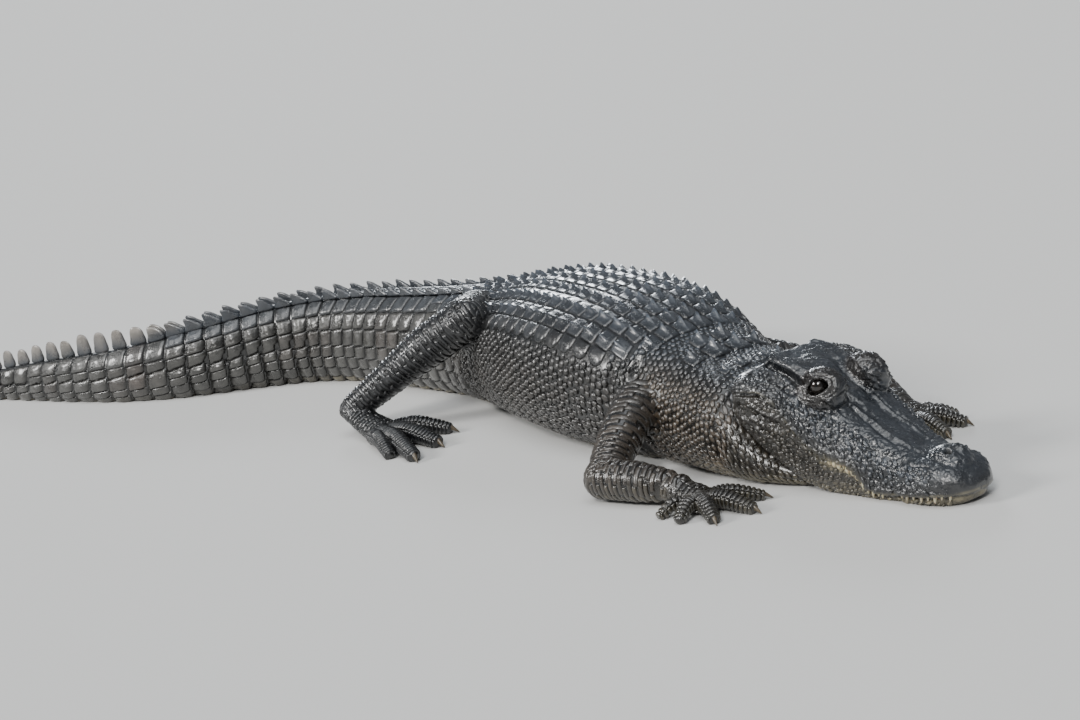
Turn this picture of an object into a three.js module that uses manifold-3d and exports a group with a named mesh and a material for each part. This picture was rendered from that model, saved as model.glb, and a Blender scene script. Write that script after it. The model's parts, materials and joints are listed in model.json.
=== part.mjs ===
// American alligator lying on its belly with its chin on the ground, head turned to its left and
// tail swept round to its right, at life size. Millimetres, +Z up, X along the trunk to the front,
// Y to its left. The origin is on the floor under the middle of the trunk.
import * as THREE from "three";
import { mergeVertices } from "three/addons/utils/BufferGeometryUtils.js";
import Module from "manifold-3d";

const wasm = await Module();
wasm.setup();

// Driving sizes. A distance q runs back along the spine from the snout tip's side of the head.
const TOTAL_LENGTH = 3350;
const OCCIPUT = 410; // back of the skull
const TRUNK_MIDDLE = 1030; // over the origin
const HEAD_PITCH = THREE.MathUtils.degToRad(13); // nose down
const CHIN_CONTACT = 350; // in front of the occiput, where the jaw lies on the floor
const GAP = 0.3; // between neighbouring parts
const BELLY_SINK = 0.06; // share of the height by which the round belly is flattened on the floor

// Heading of the spine in degrees to the left of X, at distances q.
const BENDS = [
  [0, 3],
  [410, 3],
  [530, -3],
  [640, -6],
  [850, -7],
  [1030, -9],
  [1250, -4],
  [1450, 5],
  [1650, 11],
  [1850, 12],
  [2000, 26],
  [2150, 46],
  [2300, 56],
  [2450, 46],
  [2600, 33],
  [2750, 24],
  [2900, 22],
  [3050, 24],
  [3350, 34],
];

// Flesh of neck, trunk and tail: distance q, half width, height of the back, squareness.
const FLESH = [
  [230, 45, 26, 2.2],
  [290, 84, 42, 2.2],
  [350, 118, 72, 2.3],
  [400, 142, 118, 2.4],
  [440, 154, 176, 2.4],
  [470, 157, 200, 2.4],
  [540, 156, 210, 2.4],
  [610, 162, 226, 2.4],
  [680, 176, 248, 2.4],
  [760, 196, 270, 2.5],
  [860, 215, 288, 2.5],
  [1000, 226, 296, 2.5],
  [1150, 222, 294, 2.5],
  [1300, 196, 276, 2.5],
  [1410, 166, 258, 2.5],
  [1500, 144, 244, 2.4],
  [1620, 126, 232, 2.3],
  [1800, 107, 222, 2.2],
  [2000, 90, 210, 2.1],
  [2200, 74, 196, 2.0],
  [2400, 60, 167, 2.0],
  [2600, 47, 136, 2.0],
  [2800, 36, 114, 2.0],
  [3000, 25, 90, 2.0],
  [3150, 16, 62, 2.0],
  [3270, 9, 36, 2.0],
  [3330, 5, 18, 2.0],
  [3350, 3, 12, 2.0],
];

// Upper head, in the head's own frame: distance in front of the occiput, half width at the lips,
// lip line, top of the lip's steep face, top of the head, half width of that top.
const UPPER_HEAD = [
  [455, 9, 47, 51, 57, 5],
  [449, 28, 45, 56, 65, 15],
  [436, 46, 41, 60, 74, 26],
  [415, 61, 35, 60, 83, 34],
  [388, 71, 27, 56, 87, 37],
  [358, 74, 17, 50, 83, 36],
  [330, 73, 9, 45, 81, 37],
  [300, 77, 0, 43, 84, 39],
  [273, 83, 0, 46, 89, 41],
  [257, 87, 14, 51, 92, 42],
  [240, 91, 29, 56, 96, 44],
  [212, 97, 33, 62, 103, 46],
  [186, 103, 33, 68, 113, 46],
  [160, 109, 44, 76, 124, 45],
  [130, 116, 63, 90, 136, 46],
  [104, 122, 86, 104, 149, 54],
  [78, 128, 107, 124, 157, 60],
  [50, 134, 119, 130, 159, 60],
  [20, 138, 112, 128, 159, 60],
  [2, 140, 107, 125, 158, 59],
  [-12, 138, 104, 119, 142, 57],
  [-34, 128, 101, 112, 128, 54],
];

// Lower jaw: distance in front of the occiput, its set-back from the upper lip, lower edge.
const LOWER_JAW = [
  [449, 12, 32],
  [436, 10, 22],
  [415, 10, 14],
  [388, 9, 4],
  [358, 9, -4],
  [330, 9, -12],
  [300, 9, -20],
  [273, 9, -26],
  [257, 9, -30],
  [240, 9, -34],
  [212, 9, -40],
  [186, 8, -42],
  [160, 7, -42],
  [130, 6, -38],
  [104, 5, -30],
  [78, 4, -19],
  [50, 3, -4],
  [20, 3, 14],
  [2, 4, 34],
  [-12, 6, 52],
  [-34, 12, 74],
];

const EYE = { x: 129, y: 64, z: 145, radius: 17 };
const LID = { x: 134, y: 53, z: 147, length: 41, width: 30, height: 28 };
const NOSTRIL = { x: 388, y: 16, z: 97, length: 10, width: 6, depth: 9 };
const NOSE_BULB = { x: 384, z: 80, length: 40, width: 36, height: 20 };
const EAR_SLIT = { front: 88, back: 6, y: 66, z: 143, thickness: 4, depth: 12 };
const JAW_MUSCLE = { x: 22, y: 112, z: 74, length: 48, width: 30, height: 34 };

// A limb grows from the body at a distance along the spine, in a frame of its own there. Its joints
// are [forward, out from the spine, height, radius], its digits' tips and roots [forward, out]. The
// two sides differ in the turn of the limb and in the share to which its joints rise.
const FORELIMB = {
  attach: 690,
  turn: { left: -14, right: 0 },
  rise: { left: 1, right: 1 },
  upper: [
    [0, 90, 140, 56],
    [51, 175, 122, 47],
    [106, 261, 74, 40],
    [151, 310, 44, 38],
  ],
  fore: [
    [147, 314, 42, 39],
    [217, 285, 42, 38],
    [292, 245, 35, 29],
  ],
  palm: [
    [287, 248, 33, 27],
    [336, 235, 24, 33],
    [359, 226, 14, 30],
  ],
  digits: [
    { tip: [390, 136], root: [335, 213], radius: 12, claw: 20 },
    { tip: [439, 190], root: [350, 222], radius: 14, claw: 20 },
    { tip: [428, 262], root: [353, 238], radius: 13.5, claw: 19 },
    { tip: [381, 301], root: [348, 253], radius: 12, claw: 0 },
    { tip: [329, 307], root: [330, 263], radius: 10.5, claw: 0 },
  ],
  digitRootHeight: 16,
};
const HINDLIMB = {
  attach: 1440,
  turn: { left: 7, right: 0 },
  rise: { left: 0.84, right: 1 },
  upper: [
    [0, 70, 165, 80],
    [58, 141, 200, 70],
    [112, 204, 226, 50],
  ],
  fore: [
    [116, 207, 228, 47],
    [39, 269, 174, 48],
    [-31, 336, 112, 38],
    [-87, 395, 60, 32],
  ],
  palm: [
    [-91, 400, 54, 31],
    [-44, 399, 34, 34],
    [14, 402, 20, 41],
    [42, 404, 12, 33],
  ],
  digits: [
    { tip: [122, 308], root: [22, 370], radius: 15.5, claw: 24 },
    { tip: [183, 385], root: [33, 393], radius: 17, claw: 24 },
    { tip: [220, 472], root: [34, 413], radius: 17, claw: 23 },
    { tip: [153, 485], root: [27, 432], radius: 14, claw: 0 },
  ],
  digitRootHeight: 18,
};
const PALM_FLATTENING = 0.62;
const SIDES = { trunk: 24, tail: 14 }; // around the body
const BODY_STEP = 56; // along the body
const LAST_TRUNK_RING = 1800; // behind it the rings have the tail's fewer sides
const LIMB_SIDES = 10;
const FITTED_GAP = 0.6; // round a limb, where it is trimmed to the body

// Each length of the body, by name, with the distance near which it ends; it is parted from the
// next between two bands of scutes.
const NECK_FRONT = 230;
const FIRST_BAND = 655;
const LENGTH_ENDS = [
  ["neck", FIRST_BAND],
  ["torso", 1475],
  ["tail_base", 1850],
  ["tail_middle", 2300],
  ["tail_rear", 2760],
  ["tail_tip", TOTAL_LENGTH],
];

// Length of a band of scutes at distance q.
const BAND_LENGTH = [
  [655, 46],
  [1450, 47],
  [1900, 46],
  [2300, 46],
  [2480, 54],
  [2650, 58],
  [3000, 52],
  [3200, 40],
  [3350, 26],
];

// Rows of keeled scutes along the back: offset from the midline, first and last distance, width,
// height of the keel.
const BACK_ROWS = [
  [23, 690, 1475, 41, 13],
  [67, 690, 1475, 41, 13],
  [110, 740, 1330, 38, 12],
];
// The larger scutes on the neck: distance, offset, length, width, height.
const NECK_SCUTES = [
  [486, 30, 26, 26, 12],
  [490, 66, 24, 24, 11],
  [566, 26, 46, 44, 20],
  [574, 74, 38, 34, 15],
  [614, 25, 40, 40, 17],
];
// The tail's crest: distance, offset of each row from the midline, height. Past the last offset
// the two rows have met in one.
const CREST = [
  [1460, 50, 13],
  [1700, 42, 17],
  [1900, 34, 22],
  [2100, 26, 27],
  [2300, 18, 31],
  [2510, 9, 38],
  [2620, 8, 46],
  [2800, 8, 44],
  [3000, 8, 38],
  [3200, 8, 26],
  [3350, 8, 10],
];
const ROWS_MEET = 2520;
const CREST_THICKNESS = 7;
const SCUTE_SINK = 9; // of a scute's root in the flesh
const SCUTE_SPACING = 4; // between scutes in a row
const UNEVENNESS = 0.12; // of scute heights, widths and places, as a share

// Upper teeth that show at the closed mouth: distance in front of the occiput, length.
const TEETH = [
  [428, 9],
  [406, 12],
  [382, 10],
  [352, 8],
  [300, 8],
  [282, 12],
  [262, 12],
  [222, 8],
];
const TOOTH_RADIUS = 3.2;
const TOOTH_INSET = 3.8; // from the lip's outer face

const SKIN = new THREE.MeshStandardMaterial({ color: 0x4a4b4a, roughness: 0.55, metalness: 0 });
const HEAD_SKIN = new THREE.MeshStandardMaterial({ color: 0x54575a, roughness: 0.5, metalness: 0 });
const JAW_SKIN = new THREE.MeshStandardMaterial({ color: 0x7d7565, roughness: 0.6, metalness: 0 });
const LIMB_SKIN = new THREE.MeshStandardMaterial({ color: 0x3a3c3e, roughness: 0.5, metalness: 0 });
const EYE_SURFACE = new THREE.MeshStandardMaterial({ color: 0x3b3520, roughness: 0.1, metalness: 0 });

// A value from a table of rows at a distance, with a smooth curve that never overshoots its rows.
function along(table, at, column) {
  const sign = table[0][0] < table[table.length - 1][0] ? 1 : -1;
  const clamped = sign * THREE.MathUtils.clamp(sign * at, sign * table[0][0], sign * table.at(-1)[0]);
  let i = 0;
  while (i < table.length - 2 && sign * clamped > sign * table[i + 1][0]) i++;
  const slope = (k) => (table[k + 1][column] - table[k][column]) / (table[k + 1][0] - table[k][0]);
  const tangent = (k) => {
    if (k === 0) return slope(0);
    if (k === table.length - 1) return slope(k - 1);
    const before = slope(k - 1);
    const after = slope(k);
    return before * after <= 0 ? 0 : (2 * before * after) / (before + after);
  };
  const span = table[i + 1][0] - table[i][0];
  const t = (clamped - table[i][0]) / span;
  const a = table[i][column];
  const b = table[i + 1][column];
  const rise = 3 * t * t - 2 * t * t * t;
  const startPull = (t * t * t - 2 * t * t + t) * span * tangent(i);
  const endPull = (t * t * t - t * t) * span * tangent(i + 1);
  return a + (b - a) * rise + startPull + endPull;
}

const heading = (q) => THREE.MathUtils.degToRad(along(BENDS, q, 1));

// Points on the spine every few millimetres, worked out from the headings.
const SPINE_STEP = 2.5;
const spinePoints = [new THREE.Vector2(0, 0)];
for (let q = SPINE_STEP; q <= TOTAL_LENGTH + 1; q += SPINE_STEP) {
  const angle = heading(q - SPINE_STEP / 2);
  const step = new THREE.Vector2(Math.cos(angle), Math.sin(angle)).multiplyScalar(SPINE_STEP);
  spinePoints.push(spinePoints.at(-1).clone().sub(step));
}
const trunkMiddle = spinePoints[Math.round(TRUNK_MIDDLE / SPINE_STEP)].clone();
for (const point of spinePoints) point.sub(trunkMiddle);

function spineAt(q) {
  const index = THREE.MathUtils.clamp(q / SPINE_STEP, 0, spinePoints.length - 1.001);
  const low = Math.floor(index);
  return spinePoints[low].clone().lerp(spinePoints[low + 1], index - low);
}

// A point of the body: distance q, offset to the left, height.
function place(q, left, height) {
  const centre = spineAt(q);
  const angle = heading(q);
  return new THREE.Vector3(centre.x - Math.sin(angle) * left, centre.y + Math.cos(angle) * left, height);
}

// The head's frame: x to the snout, y to its left, z up, pitched nose down about the occiput.
const headFrame = new THREE.Matrix4();
{
  const origin = place(OCCIPUT, 0, CHIN_CONTACT * Math.sin(HEAD_PITCH));
  const turn = new THREE.Matrix4().makeRotationZ(heading(OCCIPUT));
  const nod = new THREE.Matrix4().makeRotationY(HEAD_PITCH);
  headFrame.makeTranslation(origin.x, origin.y, origin.z).multiply(turn).multiply(nod);
}

// A closed geometry from rings of equal count, with a fan over each end.
function loft(rings) {
  const count = rings[0].length;
  const positions = rings.flat().flatMap((p) => [p.x, p.y, p.z]);
  const index = [];
  for (let r = 0; r < rings.length - 1; r++) {
    for (let k = 0; k < count; k++) {
      const next = (k + 1) % count;
      const a = r * count + k;
      const b = r * count + next;
      index.push(a, b, a + count, b, b + count, a + count);
    }
  }
  for (const [ring, flip] of [[0, true], [rings.length - 1, false]]) {
    const centre = rings[ring].reduce((sum, p) => sum.add(p), new THREE.Vector3()).divideScalar(count);
    const apex = positions.length / 3;
    positions.push(centre.x, centre.y, centre.z);
    for (let k = 0; k < count; k++) {
      const a = ring * count + k;
      const b = ring * count + ((k + 1) % count);
      index.push(...(flip ? [apex, b, a] : [apex, a, b]));
    }
  }
  const geometry = new THREE.BufferGeometry();
  geometry.setAttribute("position", new THREE.Float32BufferAttribute(positions, 3));
  geometry.setIndex(index);
  return geometry;
}

// A manifold-3d solid of a closed geometry, facing out.
function solid(geometry, matrix) {
  const bare = new THREE.BufferGeometry();
  bare.setAttribute("position", geometry.getAttribute("position").clone());
  if (geometry.index) bare.setIndex(geometry.index.clone());
  if (matrix) bare.applyMatrix4(matrix);
  const merged = mergeVertices(bare, 1e-3);
  const build = (flip) => {
    const triVerts = new Uint32Array(merged.index.array);
    if (flip) {
      for (let i = 0; i < triVerts.length; i += 3) {
        [triVerts[i + 1], triVerts[i + 2]] = [triVerts[i + 2], triVerts[i + 1]];
      }
    }
    const vertProperties = new Float32Array(merged.attributes.position.array);
    return new wasm.Manifold(new wasm.Mesh({ numProp: 3, vertProperties, triVerts }));
  };
  const made = build(false);
  return made.volume() < 0 ? build(true) : made;
}

const union = (solids) => solids.reduce((sum, next) => sum.add(next));

// A value varied by a share that its seed settles, the same on every run.
function uneven(value, seed) {
  const wave = Math.sin(seed * 12.9898 + value * 7.233) * 43758.5453;
  return value * (1 + (wave - Math.floor(wave) - 0.5) * 2 * UNEVENNESS);
}

// The largest closed surface of a solid.
function largest(shape) {
  return shape.decompose().reduce((best, next) => (next.volume() > best.volume() ? next : best));
}

function ellipsoid(radii, centre, segments = 12) {
  const matrix = new THREE.Matrix4().makeTranslation(centre.x, centre.y, centre.z);
  matrix.multiply(new THREE.Matrix4().makeScale(radii.x, radii.y, radii.z));
  const sphere = new THREE.SphereGeometry(1, segments, Math.round(segments * 0.6));
  return solid(sphere, headFrame.clone().multiply(matrix));
}

// Half space in front of a plane through a point, as a large box.
function halfSpace(point, normal, offset) {
  const size = 4000;
  const direction = normal.clone().normalize();
  const centre = point.clone().addScaledVector(direction, size / 2 + offset);
  const turn = new THREE.Quaternion().setFromUnitVectors(new THREE.Vector3(0, 0, 1), direction);
  const matrix = new THREE.Matrix4().compose(centre, turn, new THREE.Vector3(1, 1, 1));
  return solid(new THREE.BoxGeometry(size, size, size), matrix);
}

// One ring of flesh, flattened where it meets the floor; grow makes it larger all round.
function fleshRing(q, grow, sides) {
  const half = along(FLESH, q, 1) + grow;
  const top = along(FLESH, q, 2) + grow;
  const power = 2 / along(FLESH, q, 3);
  const middle = top * 0.44;
  const bottom = -top * BELLY_SINK;
  const ring = [];
  for (let k = 0; k < sides; k++) {
    const angle = (k / sides) * 2 * Math.PI;
    const c = Math.cos(angle);
    const s = Math.sin(angle);
    const left = half * Math.sign(c) * Math.abs(c) ** power;
    const rise = (s > 0 ? top - middle : middle - bottom) * Math.sign(s) * Math.abs(s) ** power;
    ring.push(place(q, left, Math.max(middle + rise, grow > 0 ? -1 : 0)));
  }
  return ring;
}

function flesh(from, to, grow = 0) {
  const count = Math.max(2, Math.round((to - from) / BODY_STEP));
  const sides = from < LAST_TRUNK_RING ? SIDES.trunk : SIDES.tail;
  const rings = [];
  for (let i = 0; i <= count; i++) rings.push(fleshRing(from + ((to - from) * i) / count, grow, sides));
  return solid(loft(rings));
}

// The ring of the upper head at a row of its table.
function upperRing([x, half, lip, cheek, top, topHalf], grow) {
  const w = half + grow;
  const floor = lip + (grow > 0 ? -2 : GAP);
  // Between eye and occiput the head falls steeply from the edge of its flat table to the cheek.
  const { smoothstep } = THREE.MathUtils;
  const hollow = smoothstep(x, -14, 4) * (1 - smoothstep(x, 84, 112));
  const cheekShare = 0.8 - 0.18 * hollow;
  const tableShare = 0.45 - 0.29 * hollow;
  const side = [
    [w, floor],
    [w + 1.5, (lip + cheek) / 2],
    [w * 0.985, cheek + grow],
    [w * cheekShare + topHalf * (1 - cheekShare), cheek + (top - cheek) * (0.42 - 0.22 * hollow) + grow],
    [w * tableShare + topHalf * (1 - tableShare), cheek + (top - cheek) * (0.78 - 0.28 * hollow) + grow],
    [topHalf + grow, top - 2 + grow],
    [topHalf * 0.5, top + grow],
  ];
  const ring = side.map(([y, z]) => new THREE.Vector3(x, y, z));
  ring.push(new THREE.Vector3(x, 0, top + grow));
  for (const [y, z] of side.toReversed()) ring.push(new THREE.Vector3(x, -y, z));
  for (const share of [-0.5, 0, 0.5]) ring.push(new THREE.Vector3(x, w * share, floor));
  return ring;
}

function upperHeadSolid(grow = 0) {
  return solid(loft(UPPER_HEAD.map((row) => upperRing(row, grow))), headFrame);
}

// The ring of the lower jaw, whose upper face follows the lip line just below it.
function jawRing([x, setBack, edge], grow) {
  const w = along(UPPER_HEAD, x, 1) - setBack + grow;
  const lip = along(UPPER_HEAD, x, 2);
  const ceiling = lip + (grow > 0 ? 2 : -GAP);
  const low = edge - grow;
  const side = [
    [w, ceiling],
    [w + 1, (lip + low) / 2],
    [w * 0.95, low + (lip - low) * 0.24],
    [w * 0.82, low + (lip - low) * 0.06],
    [w * 0.6, low],
  ];
  const ring = side.map(([y, z]) => new THREE.Vector3(x, y, z));
  ring.push(new THREE.Vector3(x, 0, low));
  for (const [y, z] of side.toReversed()) ring.push(new THREE.Vector3(x, -y, z));
  for (const share of [-0.5, 0, 0.5]) ring.push(new THREE.Vector3(x, w * share, ceiling));
  return ring;
}

function jawSolid(grow = 0) {
  return solid(loft(LOWER_JAW.map((row) => jawRing(row, grow))), headFrame);
}

// Rings that round the end of a tube: radius and distance past the end, as shares of its radius.
const LIMB_ENDS = [
  [0.78, 0.55],
  [0.35, 0.82],
];
const DIGIT_ENDS = [[0.6, 0.6]];

// A tapered tube through points with a radius at each, its ends rounded, kept above the floor.
function tube(points, radii, flattening = 1, sides = LIMB_SIDES, steps = 2, endRings = LIMB_ENDS) {
  const curve = new THREE.CatmullRomCurve3(points, false, "centripetal");
  const count = (points.length - 1) * steps;
  const rings = [];
  const addRing = (t, radius, shift) => {
    const tangent = curve.getTangent(t);
    const side = new THREE.Vector3(0, 0, 1).cross(tangent).normalize();
    const up = tangent.clone().cross(side).normalize();
    const centre = curve.getPoint(t).addScaledVector(tangent, shift);
    const ring = [];
    for (let k = 0; k < sides; k++) {
      const angle = (k / sides) * 2 * Math.PI;
      const point = centre.clone().addScaledVector(side, Math.cos(angle) * radius);
      point.addScaledVector(up, Math.sin(angle) * radius * flattening);
      point.z = Math.max(point.z, 0);
      ring.push(point);
    }
    rings.push(ring);
  };
  const radiusAt = (t) => {
    const place = Math.min(t * (points.length - 1), points.length - 1.0001);
    const low = Math.floor(place);
    return radii[low] + (radii[low + 1] - radii[low]) * (place - low);
  };
  const first = radii[0];
  const last = radii[radii.length - 1];
  for (const [radius, shift] of endRings.toReversed()) addRing(0, first * radius, -first * shift);
  for (let i = 0; i <= count; i++) addRing(i / count, radiusAt(i / count), 0);
  for (const [radius, shift] of endRings) addRing(1, last * radius, last * shift);
  return solid(loft(rings));
}

// A limb's own frame: forward, out to its side, up.
function limbFrame(side, plan) {
  const base = spineAt(plan.attach);
  const turn = THREE.MathUtils.degToRad(side > 0 ? plan.turn.left : -plan.turn.right);
  const angle = heading(plan.attach) - turn;
  const forward = new THREE.Vector3(Math.cos(angle), Math.sin(angle), 0);
  const out = new THREE.Vector3(-Math.sin(angle) * side, Math.cos(angle) * side, 0);
  return ([ahead, away], height) =>
    new THREE.Vector3(base.x, base.y, height).addScaledVector(forward, ahead).addScaledVector(out, away);
}

// One digit with its claw, arched from the palm down to its tip on the floor.
function digit(at, { tip, root, radius, claw }, rootHeight) {
  const start = at(root, rootHeight);
  const end = at(tip, radius * 0.5);
  const knuckle = start.clone().lerp(end, 0.45).setZ(rootHeight + radius * 0.35);
  const toe = tube([start, knuckle, end], [radius, radius * 0.94, radius * 0.66], 1, 6, 1, DIGIT_ENDS);
  if (claw === 0) return toe;
  const ahead = end.clone().sub(knuckle).setZ(0).normalize();
  const clawRing = (forward, height, size) =>
    [0, 1, 2, 3].map((k) => {
      const angle = ((k + 0.5) * Math.PI) / 2;
      const across = new THREE.Vector3(-ahead.y, ahead.x, 0).multiplyScalar(Math.cos(angle) * size);
      const centre = end.clone().addScaledVector(ahead, forward).add(across);
      return centre.setZ(height + Math.sin(angle) * size);
    });
  return toe.add(
    solid(
      loft([
        clawRing(-radius * 0.4, radius * 0.75, radius * 0.42),
        clawRing(claw * 0.55, radius * 0.72, radius * 0.32),
        clawRing(claw, 2.4, 1),
      ]),
    ),
  );
}

// The three parts of a limb: parted at its two joints and trimmed clear of the body.
function limb(side, plan, body) {
  const at = limbFrame(side, plan);
  const rise = side > 0 ? plan.rise.left : plan.rise.right;
  const joint = ([ahead, away, height]) => at([ahead, away], height * rise);
  const limbTube = (joints, flattening) =>
    tube(joints.map(joint), joints.map((one) => one[3]), flattening);
  const upper = limbTube(plan.upper);
  const fore = limbTube(plan.fore);
  const palm = limbTube(plan.palm, PALM_FLATTENING);
  const digits = plan.digits.map((one) => digit(at, one, plan.digitRootHeight));
  const extremity = union([palm, ...digits]);
  const cut = (last, first, inner, outer) => {
    const bend = joint(last.at(-1));
    const before = joint(last.at(-2)).sub(bend).normalize();
    const after = joint(first[1]).sub(bend).normalize();
    const normal = after.sub(before).normalize();
    return [
      inner.subtract(halfSpace(bend, normal, -GAP / 2)),
      outer.intersect(halfSpace(bend, normal, GAP / 2)),
    ];
  };
  const [upperPart, rest] = cut(plan.upper, plan.fore, upper, fore);
  const [forePart, extremityPart] = cut(plan.fore, plan.palm, rest, extremity);
  return [upperPart, forePart, extremityPart].map((piece) => largest(piece.subtract(body)));
}

// A point on or above the flesh at an offset from the midline, lifted square to the surface.
function onFlesh(q, left, lift) {
  const half = along(FLESH, q, 1);
  const top = along(FLESH, q, 2);
  const power = along(FLESH, q, 3);
  const heightAt = (offset) => {
    const share = Math.min(Math.abs(offset) / half, 0.985);
    return top * (0.44 + 0.56 * (1 - share ** power) ** (1 / power));
  };
  const slope = (heightAt(left + 2) - heightAt(left - 2)) / 4;
  const length = Math.hypot(1, slope);
  return place(q, left - (slope / length) * lift, heightAt(left) + lift / length);
}

// A keeled scute: a four-cornered plate, widest behind, whose ridge rises to the back.
function scute({ q, left, length, width, height, edge }, grow) {
  const front = q - length / 2 - grow;
  const back = q + length / 2 + grow;
  const corners = [
    [front, 0.42],
    [back, 0.5],
    [back, -0.5],
    [front, -0.42],
  ];
  const ring = (lift, narrow) =>
    corners.map(([at, share]) => onFlesh(at, left + (width * narrow + grow * 2) * share, lift));
  const ridge = [
    onFlesh(front + length * 0.12, left, edge + height * 0.35 + grow),
    onFlesh(back - length * 0.1, left, edge + height + grow),
  ];
  const points = [...ring(-SCUTE_SINK - grow, 1), ...ring(edge + grow, 0.94), ...ridge];
  const positions = points.flatMap((p) => [p.x, p.y, p.z]);
  const index = [0, 3, 2, 0, 2, 1];
  for (let k = 0; k < 4; k++) {
    const next = (k + 1) % 4;
    index.push(k, next, k + 4, next, next + 4, k + 4);
  }
  const [low, high] = [8, 9];
  index.push(4, 5, low, 5, high, low, 5, 6, high, 6, 7, high, 7, low, high, 7, 4, low);
  const geometry = new THREE.BufferGeometry();
  geometry.setAttribute("position", new THREE.Float32BufferAttribute(positions, 3));
  geometry.setIndex(index);
  return solid(geometry);
}

// An upright plate of the crest, highest at its back edge.
function crestPlate({ q, left, length, height }, grow) {
  const profile = [
    [-0.5, -SCUTE_SINK],
    [-0.44, height * 0.2],
    [0.2, height * 0.88],
    [0.46, height],
    [0.46, -SCUTE_SINK],
  ];
  const rings = [1, -1].map((side) =>
    profile.map(([share, lift]) => {
      const thickness = CREST_THICKNESS * (0.5 - 0.36 * Math.max(lift / height, 0)) + grow;
      return onFlesh(q + share * (length + grow * 2), left, lift + Math.sign(lift) * grow).add(
        place(q, side * thickness, 0).sub(place(q, 0, 0)),
      );
    }),
  );
  return solid(loft(rings));
}

// Upper and lower ends of every band of scutes, from the neck to the tail tip.
const bandEnds = [FIRST_BAND];
while (bandEnds.at(-1) < TOTAL_LENGTH - 24) {
  bandEnds.push(bandEnds.at(-1) + along(BAND_LENGTH, bandEnds.at(-1), 1));
}

const nearestBandEnd = (q) =>
  bandEnds.reduce((best, end) => (Math.abs(end - q) < Math.abs(best - q) ? end : best));

// The scutes that stand on the body between two distances, grown all round by a small amount.
function scutesBetween(from, to, grow) {
  const pieces = [];
  for (const side of [-1, 1]) {
    for (const [q, offset, length, width, height] of NECK_SCUTES) {
      const place = { q, left: side * offset, length, width, height: uneven(height, side), edge: 2 };
      if (q > from && q < to) pieces.push(scute(place, grow));
    }
  }
  for (let i = 0; i < bandEnds.length - 1; i++) {
    const q = (bandEnds[i] + bandEnds[i + 1]) / 2;
    if (q < from || q > to) continue;
    const length = bandEnds[i + 1] - bandEnds[i] - SCUTE_SPACING;
    const spread = Math.min(1, 0.35 + (0.65 * along(FLESH, q, 1)) / along(FLESH, 1000, 1));
    for (const [offset, first, last, width, height] of BACK_ROWS) {
      if (q < first || q > last) continue;
      for (const side of [-1, 1]) {
        const left = side * offset * spread;
        const size = { length, width: uneven(width, q + left) * spread, edge: 1.5 };
        pieces.push(scute({ q, left, ...size, height: uneven(height, q + left) }, grow));
      }
    }
    if (q < CREST[0][0]) continue;
    for (const side of q < ROWS_MEET ? [-1, 1] : [0]) {
      const left = side * along(CREST, q, 1);
      const height = uneven(along(CREST, q, 2), q + left);
      pieces.push(crestPlate({ q, left, length, height }, grow));
    }
  }
  return pieces;
}

const root = new THREE.Group();

function addPart(name, shape, material) {
  const mesh = shape.getMesh();
  const geometry = new THREE.BufferGeometry();
  geometry.setAttribute("position", new THREE.Float32BufferAttribute(mesh.vertProperties, 3));
  geometry.setIndex(Array.from(mesh.triVerts));
  const part = new THREE.Mesh(geometry, material);
  part.name = name;
  root.add(part);
}

// Head, with the raised lids, nose bulb, nostrils and ear slits.
function headShape() {
  let shape = upperHeadSolid();
  shape = shape.add(
    ellipsoid(
      new THREE.Vector3(NOSE_BULB.length, NOSE_BULB.width, NOSE_BULB.height),
      new THREE.Vector3(NOSE_BULB.x, 0, NOSE_BULB.z),
    ),
  );
  for (const side of [-1, 1]) {
    const lid = ellipsoid(
      new THREE.Vector3(LID.length, LID.width, LID.height),
      new THREE.Vector3(LID.x, side * LID.y, LID.z),
    );
    shape = shape.add(lid);
    const socket = EYE.radius + GAP;
    shape = shape.subtract(
      ellipsoid(new THREE.Vector3(socket, socket, socket), new THREE.Vector3(EYE.x, side * EYE.y, EYE.z)),
    );
    shape = shape.subtract(
      ellipsoid(
        new THREE.Vector3(EYE.radius * 1.05, EYE.radius, EYE.radius * 0.66),
        new THREE.Vector3(EYE.x, side * (EYE.y + EYE.radius), EYE.z - 1),
      ),
    );
    shape = shape.subtract(
      ellipsoid(
        new THREE.Vector3(NOSTRIL.length, NOSTRIL.width, NOSTRIL.depth),
        new THREE.Vector3(NOSTRIL.x, side * NOSTRIL.y, NOSTRIL.z),
        10,
      ),
    );
    const slitLength = EAR_SLIT.front - EAR_SLIT.back;
    const slit = new THREE.BoxGeometry(slitLength, EAR_SLIT.depth, EAR_SLIT.thickness);
    const slitPlace = new THREE.Matrix4().makeTranslation(
      (EAR_SLIT.front + EAR_SLIT.back) / 2,
      side * (EAR_SLIT.y + EAR_SLIT.depth / 2),
      EAR_SLIT.z,
    );
    shape = shape.subtract(solid(slit, headFrame.clone().multiply(slitPlace)));
  }
  for (const side of [-1, 1]) {
    for (const [x, length] of TEETH) shape = shape.add(tooth(x, side, length));
  }
  return largest(shape);
}

// A tooth rooted in the upper lip that hangs outside the lower jaw.
function tooth(x, side, length) {
  const y = side * (along(UPPER_HEAD, x, 1) - TOOTH_INSET);
  const lip = along(UPPER_HEAD, x, 2);
  const cone = new THREE.CylinderGeometry(TOOTH_RADIUS, 0.6, length + 6, 4);
  const upright = new THREE.Matrix4().makeTranslation(x, y, lip + 3 - length / 2);
  upright.multiply(new THREE.Matrix4().makeRotationX(Math.PI / 2));
  return solid(cone, headFrame.clone().multiply(upright));
}

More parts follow.
